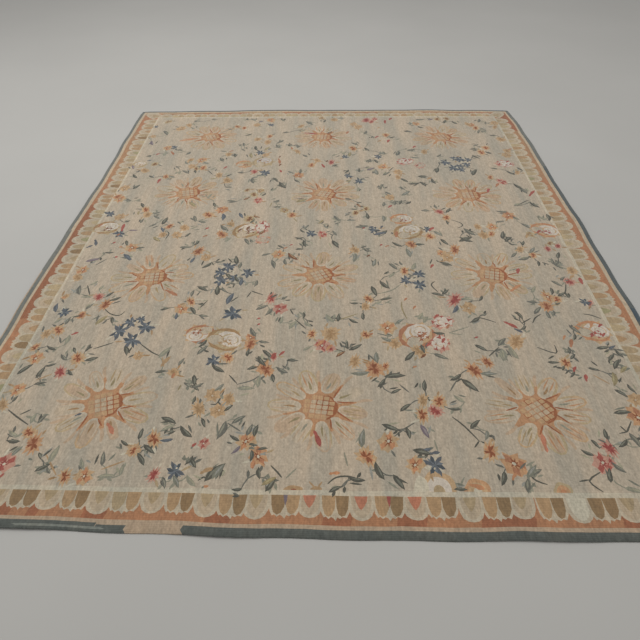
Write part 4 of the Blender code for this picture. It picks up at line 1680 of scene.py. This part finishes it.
def draw_leaves(drawing):
    """Leaves in two halves, over thin shoots that fill out the far rows more."""
    leaves = ([], [], [])
    shoots = []
    chance = random.Random(23)
    for dye, rows in LEAVES.items():
        for number, (x, y, turned, length) in enumerate(rows):
            length = length * LEAF_SPREAD + LEAF_TIPS
            width = max(LEAST_LEAF_WIDTH, length * LEAF_WIDTH_SHARE)
            row = (x * MM, y * MM, turned, length * MM, width * MM, LEAF_DYES[dye])
            leaves[number % 3].append(row)
            for _ in range(2 - number % 2 + (y > FAR_ROWS)):
                side = ((turned + 90, chance.uniform(-SHOOT_REACH, SHOOT_REACH)),)
                beside = ray_points(Vector((x, y)) * MM, side)[0]
                tone = chance.choice(SHOOT_DYES)
                lean = turned + chance.uniform(-40, 40)
                reach = length * chance.uniform(*SHOOT_SHARES) * MM
                shoots.append((beside.x, beside.y, lean, reach, SHOOT_WIDTH, (tone,)))
    drawing.stamp("shoot", BLADE_MOTIF, shoots, ragged=1.6, grain=60.0)
    for number, motif in enumerate(LEAF_MOTIFS):
        drawing.stamp(f"leaf_{number}", motif, leaves[number], ragged=2.0, grain=60.0)


# Least and greatest width of a bud and its width as a share of its length, and the length
# below which a warm one has a green tail. Millimetres.
BUD_WIDTHS = (9.0, 17.0)
BUD_WIDTH_SHARE = 0.38
SMALL_BUD = 30


def draw_buds(drawing):
    """Buds and single strokes of colour; the small warm ones have a green tail."""
    buds = []
    for dye, rows in BUDS.items():
        for x, y, turned, length in rows:
            least, greatest = BUD_WIDTHS
            width = min(max(least, length * BUD_WIDTH_SHARE), greatest)
            green = length < SMALL_BUD and dye in ("crimson", "coral")
            tail = "slate_light" if green else dye
            buds.append((x * MM, y * MM, turned, length * MM, width * MM, (dye, tail)))
    drawing.stamp("bud", BUD_MOTIF, buds, ragged=2.2, grain=60.0)


# Waver of the rug's own edge and the spacing at which it varies. Metres.
EDGE_WAVER = 0.0006
EDGE_WAVER_SPACING = 0.02

# Spacing of the sheet's extra points, and the depths between which the rug ripples. Metres.
LATTICE_STEP = 0.04
RIPPLED_DEPTHS = (0.012, 0.27)

# Points of the pattern closer than this are one point. Metres.
MERGE_DISTANCE = 1e-6

# Abrash, the uneven bands of dye, shows fully in these dyes and by this share in the rest.
ABRASHED_DYES = ("ground", "sun_petal", "sun_cream", "ivory")
ABRASH_SHARE = 0.6

# The UV map's columns: width of the top, start of the back and width of the back.
TOP_COLUMN = 0.81
BACK_START = 0.83
BACK_COLUMN = 0.16


def rug_edge(drawing):
    """The rug's own outline, a rim's width inside the CAD rim, with a woven waver."""
    ring = drawing.outline.ring
    points = []
    for start, end in zip(ring, ring[1:] + ring[:1]):
        for step in range(4):
            point = start.lerp(end, step / 4)
            points.append(point + waver(point.x, point.y, EDGE_WAVER, EDGE_WAVER_SPACING))
    inset = drawing.sizes.rim + EDGE_WAVER
    count = len(points)
    moved = []
    for i, point in enumerate(points):
        along = (points[(i + 1) % count] - points[i - 1]).normalized()
        moved.append(point + Vector((-along.y, along.x)) * inset)
    return moved


def lattice(drawing):
    """Extra points of the sheet, closer together near its edges, where it ripples."""
    points = []
    half_x = drawing.outline.half_x
    half_y = drawing.outline.half_y
    shallow, deep = RIPPLED_DEPTHS
    for row in range(int(2 * half_y / LATTICE_STEP)):
        for column in range(int(2 * half_x / LATTICE_STEP)):
            x = -half_x + LATTICE_STEP * (column + 0.5 * (row % 2) + 0.4)
            y = -half_y + LATTICE_STEP * (row + 0.4)
            depth = min(half_x - abs(x), half_y - abs(y))
            sparse = row % 3 == 0 and column % 3 == 0
            if shallow < depth < deep or (depth >= deep and sparse):
                points.append(Vector((x, y)) - CHART_MIDDLE)
    return points


def partition(shapes, loose_points):
    """Splits overlapping shapes into triangles, each with the dye of its top shape.

    A shape is an outline and its dye. The first pass finds where the outlines cross. The
    second keeps only the edges where the dye changes, so that no triangle is spent on what
    lies under another shape.
    """
    points = []
    faces = []
    for outline, _ in shapes:
        first = len(points)
        points.extend(outline)
        faces.append(list(range(first, first + len(outline))))
    crossed, _, triangles, _, _, owners = geometry.delaunay_2d_cdt(
        points, [], faces, 0, MERGE_DISTANCE, True
    )
    sheet = [
        (tri, shapes[max(owner)][1]) for tri, owner in zip(triangles, owners) if 0 in owner
    ]
    sides = {}
    for tri, dye in sheet:
        for a, b in zip(tri, tri[1:] + tri[:1]):
            sides.setdefault((min(a, b), max(a, b)), []).append(dye)
    seams = [side for side, dyes in sides.items() if len(dyes) == 1 or dyes[0] != dyes[1]]
    used = sorted({vertex for seam in seams for vertex in seam})
    numbers = {old: new for new, old in enumerate(used)}
    kept = [crossed[old] for old in used] + loose_points
    edges = [(numbers[a], numbers[b]) for a, b in seams]
    verts, _, triangles, _, _, _ = geometry.delaunay_2d_cdt(
        kept, edges, [], 0, MERGE_DISTANCE, True
    )
    finder = BVHTree.FromPolygons([v.to_3d() for v in crossed], [tri for tri, _ in sheet])
    dyed = []
    for tri in triangles:
        middle = (verts[tri[0]] + verts[tri[1]] + verts[tri[2]]) / 3
        found = finder.ray_cast((middle.x, middle.y, 1.0), (0.0, 0.0, -1.0))[2]
        if found is not None:
            dyed.append((tri, sheet[found][1]))
    return verts, dyed


def anticlockwise(points):
    """The same outline, turned to run anticlockwise."""
    area = 0.0
    for a, b in zip(points, points[1:] + points[:1]):
        area += a.x * b.y - b.x * a.y
    return points if area > 0 else points[::-1]


def boundary_ring(triangles):
    """Vertex numbers round the outside of a sheet of triangles, anticlockwise."""
    edges = {}
    for tri, _ in triangles:
        for a, b in zip(tri, tri[1:] + tri[:1]):
            edges[(a, b)] = True
    follow = {a: b for a, b in edges if (b, a) not in edges}
    start = next(iter(follow))
    ring = [start]
    while follow[ring[-1]] != start:
        ring.append(follow[ring[-1]])
    return ring


def dye_table(dyes):
    """Linear colour of each dye, with its share of abrash in the fourth place."""
    table = {}
    for name in RugDyes.__annotations__:
        share = 1.0 if name in ABRASHED_DYES else ABRASH_SHARE
        table[name] = (*getattr(dyes, name), share)
    return table


def rim_faces(top, ring, rim_start):
    """Two rows of faces from the top's edge over the rim to the back's edge.

    Each face has the dye of the top's triangle beside it.
    """
    inside = {}
    for tri, dye in top:
        for a, b in zip(tri, tri[1:] + tri[:1]):
            inside[(a, b)] = dye
    under_start = rim_start + len(ring)
    faces = []
    for i, vertex in enumerate(ring):
        j = (i + 1) % len(ring)
        dye = inside[(vertex, ring[j])]
        faces.append(((vertex, rim_start + i, rim_start + j, ring[j]), dye))
        faces.append(((rim_start + i, under_start + i, under_start + j, rim_start + j), dye))
    return faces


def sheet_mesh(drawing, dyes):
    """The whole closed sheet, still flat: woven top, rounded rim and plain-edged back."""
    sizes = drawing.sizes
    edge = [point - CHART_MIDDLE for point in rug_edge(drawing)]
    shapes = [(edge, "guard")]
    main_shapes = []
    for points, dye, main in drawing.shapes:
        shapes.append((anticlockwise(points), dye))
        if main:
            main_shapes.append(shapes[-1])
    verts, top = partition(shapes, lattice(drawing))
    coordinates = [(v.x, v.y, sizes.thickness) for v in verts]
    ring = boundary_ring(top)
    faces = top + rim_faces(top, ring, len(coordinates))
    border = [verts[vertex].copy() for vertex in ring]
    for i, point in enumerate(border):
        along = (border[(i + 1) % len(border)] - border[i - 1]).normalized()
        out = point + Vector((along.y, -along.x)) * sizes.rim
        coordinates.append((out.x, out.y, sizes.thickness / 2))
    under_numbers = {tuple(point): len(coordinates) + i for i, point in enumerate(border)}
    coordinates.extend((point.x, point.y, 0.0) for point in border)
    back_verts, back = partition([(border, "guard"), *main_shapes], lattice(drawing)[::2])
    numbers = []
    for vert in back_verts:
        number = under_numbers.get(tuple(vert))
        if number is None:
            number = len(coordinates)
            coordinates.append((vert.x, vert.y, 0.0))
        numbers.append(number)
    faces.extend(([numbers[vertex] for vertex in reversed(tri)], dye) for tri, dye in back)
    return build_sheet(coordinates, faces, dye_table(dyes), len(top))


def build_sheet(coordinates, faces, table, top_count):
    """The sheet's mesh with its dyes as a colour attribute and its flat UV map."""
    used = sorted({vertex for face, _ in faces for vertex in face})
    numbers = {old: new for new, old in enumerate(used)}
    coordinates = [coordinates[old] for old in used]
    corners = [[numbers[vertex] for vertex in face] for face, _ in faces]
    mesh = bpy.data.meshes.new("woven_rug")
    mesh.from_pydata(coordinates, [], corners)
    dyed = mesh.attributes.new("dye", "FLOAT_COLOR", "CORNER")
    spread = [value for face, dye in faces for value in table[dye] * len(face)]
    dyed.data.foreach_set("color", spread)
    low, high = CAD_BOX
    size = high - low
    uv = mesh.uv_layers.new(name="OFBake")
    flat = []
    for number, face in enumerate(corners):
        for vertex in face:
            x, y, _ = coordinates[vertex]
            u = (x - low.x) / size.x
            v = (y - low.y) / size.y
            column = u * TOP_COLUMN if number < top_count else BACK_START + u * BACK_COLUMN
            flat.extend((column, v))
    uv.data.foreach_set("uv", flat)
    mesh.update()
    mesh.shade_smooth()
    return mesh


# Unevenness of the wool, as noise in patches. Columns: width across the rug and length
# along it in metres, detail, place in the noise and turn in radians.
# Hanks took the dye differently in patches some 70 mm across. Streaks are single wefts,
# drawn 6 mm across for the real 1 to 2 mm. Grain and mottles are the spin of the wool.
# Yarns are drawn at their real width, and only raise the surface.
WOOL_NOISES = {
    "hanks": (0.075, 0.7, 3.0, 2.0, 0.0),
    "streaks": (0.006, 0.10, 2.0, 9.0, 0.0),
    "grain": (0.006, 0.009, 1.0, 4.0, 0.5),
    "mottles": (0.014, 0.024, 3.0, 5.0, 0.7),
    "yarns": (0.0016, 0.005, 1.0, 6.0, 0.0),
}

# How bright the wool gets. Columns: the range of a pattern that counts, and the share of
# brightness at its low and at its high end. The ribs' row is painted shade: the furrows between the
# ribs are darker.
WOOL_SHADES = {
    "streaks": (0.25, 0.75, 0.90, 1.10),
    "grain": (0.2, 0.8, 0.83, 1.16),
    "mottles": (0.27, 0.73, 0.85, 1.14),
    # Painted shade: the colour is darkened in the furrows between the ribs.
    "ribs": (0.0, 1.0, 0.95, 1.03),
}

# Cool and warm tint of the hanks.
HANK_TINTS = ((0.86, 0.905, 0.92, 1.0), (1.11, 1.07, 1.02, 1.0))

# Sockets of a Mix node that mixes colours: they share their names with other sockets.
MIX_FACTOR = 0
MIX_A = 6
MIX_B = 7
MIX_RESULT = 2

# A wave texture of scale 1 repeats once in this many metres.
WAVE_PITCH = 0.31416


def wool_material(sizes):
    """Weft-faced wool tapestry: hand spun, vegetable dyed, beaten down over cotton warps.

    Wool scatters light and has no gloss, so it is fully rough with a faint fuzz. The
    warps raise ribs across the rug, and each hank of wool took the dye a little
    differently, which gives the uneven bands called abrash.
    """
    material = bpy.data.materials.new("weft_faced_wool_tapestry")
    material.use_nodes = True
    tree = material.node_tree
    tree.nodes.clear()
    dye = add_node(tree, "ShaderNodeAttribute", {"attribute_name": "dye"})
    place = add_node(tree, "ShaderNodeTexCoord").outputs["Object"]
    patterns = {}
    for name, (width, length, detail, shift, turn) in WOOL_NOISES.items():
        mapping = add_node(
            tree,
            "ShaderNodeMapping",
            values={
                "Location": (shift, shift * 0.7, 0.0),
                "Rotation": (0.0, 0.0, turn),
                "Scale": (1.0 / width, 1.0 / length, 1.0),
            },
            links={"Vector": place},
        )
        patterns[name] = add_node(
            tree,
            "ShaderNodeTexNoise",
            values={"Scale": 1.0, "Detail": detail, "Roughness": 0.55},
            links={"Vector": mapping.outputs["Vector"]},
        ).outputs["Fac"]
    patterns["ribs"] = add_node(
        tree,
        "ShaderNodeTexWave",
        {"wave_type": "BANDS", "bands_direction": "Y", "wave_profile": "SIN"},
        {
            "Scale": WAVE_PITCH / sizes.rib_pitch,
            "Distortion": 0.6,
            "Detail": 1.0,
            "Detail Scale": 3.0,
        },
        {"Vector": place},
    ).outputs["Fac"]
    warmth = add_node(
        tree,
        "ShaderNodeMapRange",
        values={"From Min": 0.34, "From Max": 0.66},
        links={"Value": patterns["hanks"]},
    )
    tint = add_node(
        tree,
        "ShaderNodeMix",
        {"data_type": "RGBA"},
        {MIX_A: HANK_TINTS[0], MIX_B: HANK_TINTS[1]},
        {MIX_FACTOR: warmth.outputs["Result"]},
    )
    tinted = add_node(
        tree,
        "ShaderNodeMix",
        {"data_type": "RGBA", "blend_type": "MULTIPLY"},
        links={
            MIX_FACTOR: dye.outputs["Alpha"],
            MIX_A: dye.outputs["Color"],
            MIX_B: tint.outputs[MIX_RESULT],
        },
    )
    colour = tinted.outputs[MIX_RESULT]
    # Each level scales the colour; the ribs' level paints shade into the furrows.
    for name, (low, high, dark, light) in WOOL_SHADES.items():
        level = add_node(
            tree,
            "ShaderNodeMapRange",
            values={"From Min": low, "From Max": high, "To Min": dark, "To Max": light},
            links={"Value": patterns[name]},
        )
        colour = add_node(
            tree,
            "ShaderNodeVectorMath",
            {"operation": "SCALE"},
            links={0: colour, "Scale": level.outputs["Result"]},
        ).outputs["Vector"]
    height = add_node(
        tree,
        "ShaderNodeMath",
        {"operation": "MULTIPLY_ADD"},
        {1: 0.5},
        {0: patterns["yarns"], 2: patterns["ribs"]},
    )
    bump = add_node(
        tree,
        "ShaderNodeBump",
        values={"Strength": 0.5, "Distance": 0.0006},
        links={"Height": height.outputs["Value"]},
    )
    shader = add_node(
        tree,
        "ShaderNodeBsdfPrincipled",
        values={
            "Roughness": 0.95,
            "IOR": 1.45,
            "Specular IOR Level": 0.2,
            "Sheen Weight": 0.12,
            "Sheen Roughness": 0.6,
        },
        links={"Base Color": colour, "Normal": bump.outputs["Normal"]},
    )
    add_node(tree, "ShaderNodeOutputMaterial", links={"Surface": shader.outputs["BSDF"]})
    return material


def floor_material(colour):
    """Smooth pale screed: matt, with faint broad clouds from the trowel."""
    material = bpy.data.materials.new("pale_screed")
    material.use_nodes = True
    tree = material.node_tree
    shader = tree.nodes["Principled BSDF"]
    shader.inputs["Roughness"].default_value = 0.8
    place = add_node(tree, "ShaderNodeTexCoord").outputs["Object"]
    clouds = add_node(
        tree,
        "ShaderNodeTexNoise",
        values={"Scale": 0.8, "Detail": 4.0},
        links={"Vector": place},
    )
    shade = add_node(
        tree,
        "ShaderNodeMapRange",
        values={"From Min": 0.3, "From Max": 0.7, "To Min": 0.97, "To Max": 1.03},
        links={"Value": clouds.outputs["Fac"]},
    )
    base = add_node(
        tree,
        "ShaderNodeVectorMath",
        {"operation": "SCALE"},
        {0: tuple(colour)},
        {"Scale": shade.outputs["Result"]},
    )
    tree.links.new(base.outputs["Vector"], shader.inputs["Base Color"])
    return material


# The camera, as fitted to the photograph: place in metres, turns in degrees, lens in mm.
CAMERA_PLACE = (0.0339, -2.3145, 1.4791)
CAMERA_TURN = 1.417
CAMERA_TILT = 48.935
CAMERA_ROLL = -0.692
CAMERA_LENS = 32.362
CAMERA_SENSOR = 36.0

# Side and place of the softbox, and half the floor's width and its height. Metres.
SOFTBOX_SIZE = 5.0
SOFTBOX_PLACE = (-1.2, 1.2, 4.2)
FLOOR_HALF = 30.0
FLOOR_HEIGHT = -0.0002


class RUG_OT_set_stage(bpy.types.Operator):
    """Sets the floor, the soft light and the camera"""

    bl_idname = "rug.set_stage"
    bl_label = "Set the stage"

    def execute(self, context):
        settings = context.scene.rug_stage
        self.add_floor(settings)
        self.add_lights(settings)
        self.add_camera()
        context.scene.view_settings.view_transform = "Standard"
        return {"FINISHED"}

    def add_floor(self, settings):
        """A wide floor at the rug's underside."""
        mesh = bpy.data.meshes.new("floor")
        signs = ((-1, -1), (1, -1), (1, 1), (-1, 1))
        corners = [(x * FLOOR_HALF, y * FLOOR_HALF, 0.0) for x, y in signs]
        mesh.from_pydata(corners, [], [(0, 1, 2, 3)])
        mesh.materials.append(floor_material(settings.floor))
        floor = bpy.data.objects.new("floor", mesh)
        floor.location.z = FLOOR_HEIGHT
        bpy.context.scene.collection.objects.link(floor)

    def add_lights(self, settings):
        """One large softbox overhead and an even room light."""
        light = bpy.data.lights.new("softbox", "AREA")
        light.shape = "SQUARE"
        light.size = SOFTBOX_SIZE
        light.energy = settings.softbox_power
        softbox = bpy.data.objects.new("softbox", light)
        softbox.location = SOFTBOX_PLACE
        softbox.rotation_euler = (-softbox.location).to_track_quat("-Z", "Y").to_euler()
        bpy.context.scene.collection.objects.link(softbox)
        world = bpy.data.worlds.new("studio")
        world.use_nodes = True
        background = world.node_tree.nodes["Background"]
        background.inputs["Color"].default_value = (1.0, 1.0, 1.0, 1.0)
        background.inputs["Strength"].default_value = settings.room_light
        bpy.context.scene.world = world

    def add_camera(self):
        """The camera of the photograph: a standing viewer at the rug's near side."""
        lens_data = bpy.data.cameras.new("viewer")
        lens_data.sensor_width = CAMERA_SENSOR
        lens_data.lens = CAMERA_LENS
        camera = bpy.data.objects.new("viewer", lens_data)
        camera.matrix_world = Matrix.Translation(CAMERA_PLACE)
        for angle, axis in ((CAMERA_TURN, "Z"), (CAMERA_TILT, "X"), (CAMERA_ROLL, "Z")):
            camera.matrix_world @= Matrix.Rotation(math.radians(angle), 4, axis)
        bpy.context.scene.collection.objects.link(camera)
        bpy.context.scene.camera = camera


class RUG_OT_weave_rug(bpy.types.Operator):
    """Draws the rug's pattern, weaves it into one sheet and lays it on the CAD rug"""

    bl_idname = "rug.weave_rug"
    bl_label = "Weave the rug"

    def execute(self, context):
        sizes = context.scene.rug_sizes
        drawing = Drawing(sizes)
        draw_border(drawing)
        draw_sunflowers(drawing)
        draw_stems(drawing)
        draw_roses(drawing)
        draw_blossoms(drawing)
        draw_leaves(drawing)
        draw_buds(drawing)
        flat = sheet_mesh(drawing, context.scene.rug_dyes)
        host = bpy.data.objects.new("flat_sheet", flat)
        context.scene.collection.objects.link(host)
        laid = run_tree(
            host,
            laying_tree(),
            {
                "Surface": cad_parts["rug"],
                "Thickness": sizes.thickness,
                "Material": wool_material(sizes),
            },
        )
        bpy.data.objects.remove(host)
        laid.name = "woven_rug"
        rug = bpy.data.objects.new("woven_rug", laid)
        context.scene.collection.objects.link(rug)
        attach(rug, "root")
        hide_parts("rug")
        return {"FINISHED"}


class RUG_PT_panel(bpy.types.Panel):
    """Lists the rug's steps and settings"""

    bl_idname = "RUG_PT_panel"
    bl_label = "Tapestry rug"
    bl_space_type = "VIEW_3D"
    bl_region_type = "UI"
    bl_category = "Rug"

    def draw(self, context):
        layout = self.layout
        layout.operator(RUG_OT_set_stage.bl_idname)
        layout.operator(RUG_OT_weave_rug.bl_idname)
        for settings in (context.scene.rug_sizes, context.scene.rug_dyes, context.scene.rug_stage):
            box = layout.box()
            for name in type(settings).__annotations__:
                box.prop(settings, name)


CLASSES = (
    RugDyes,
    RugSizes,
    StageSettings,
    RUG_OT_set_stage,
    RUG_OT_weave_rug,
    RUG_PT_panel,
)


def register():
    for cls in CLASSES:
        bpy.utils.register_class(cls)
    bpy.types.Scene.rug_dyes = bpy.props.PointerProperty(type=RugDyes)
    bpy.types.Scene.rug_sizes = bpy.props.PointerProperty(type=RugSizes)
    bpy.types.Scene.rug_stage = bpy.props.PointerProperty(type=StageSettings)


def unregister():
    del bpy.types.Scene.rug_stage
    del bpy.types.Scene.rug_sizes
    del bpy.types.Scene.rug_dyes
    for cls in reversed(CLASSES):
        bpy.utils.unregister_class(cls)


def main():
    register()
    bpy.ops.rug.set_stage()
    bpy.ops.rug.weave_rug()
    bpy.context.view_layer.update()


if __name__ == "__main__":
    main()
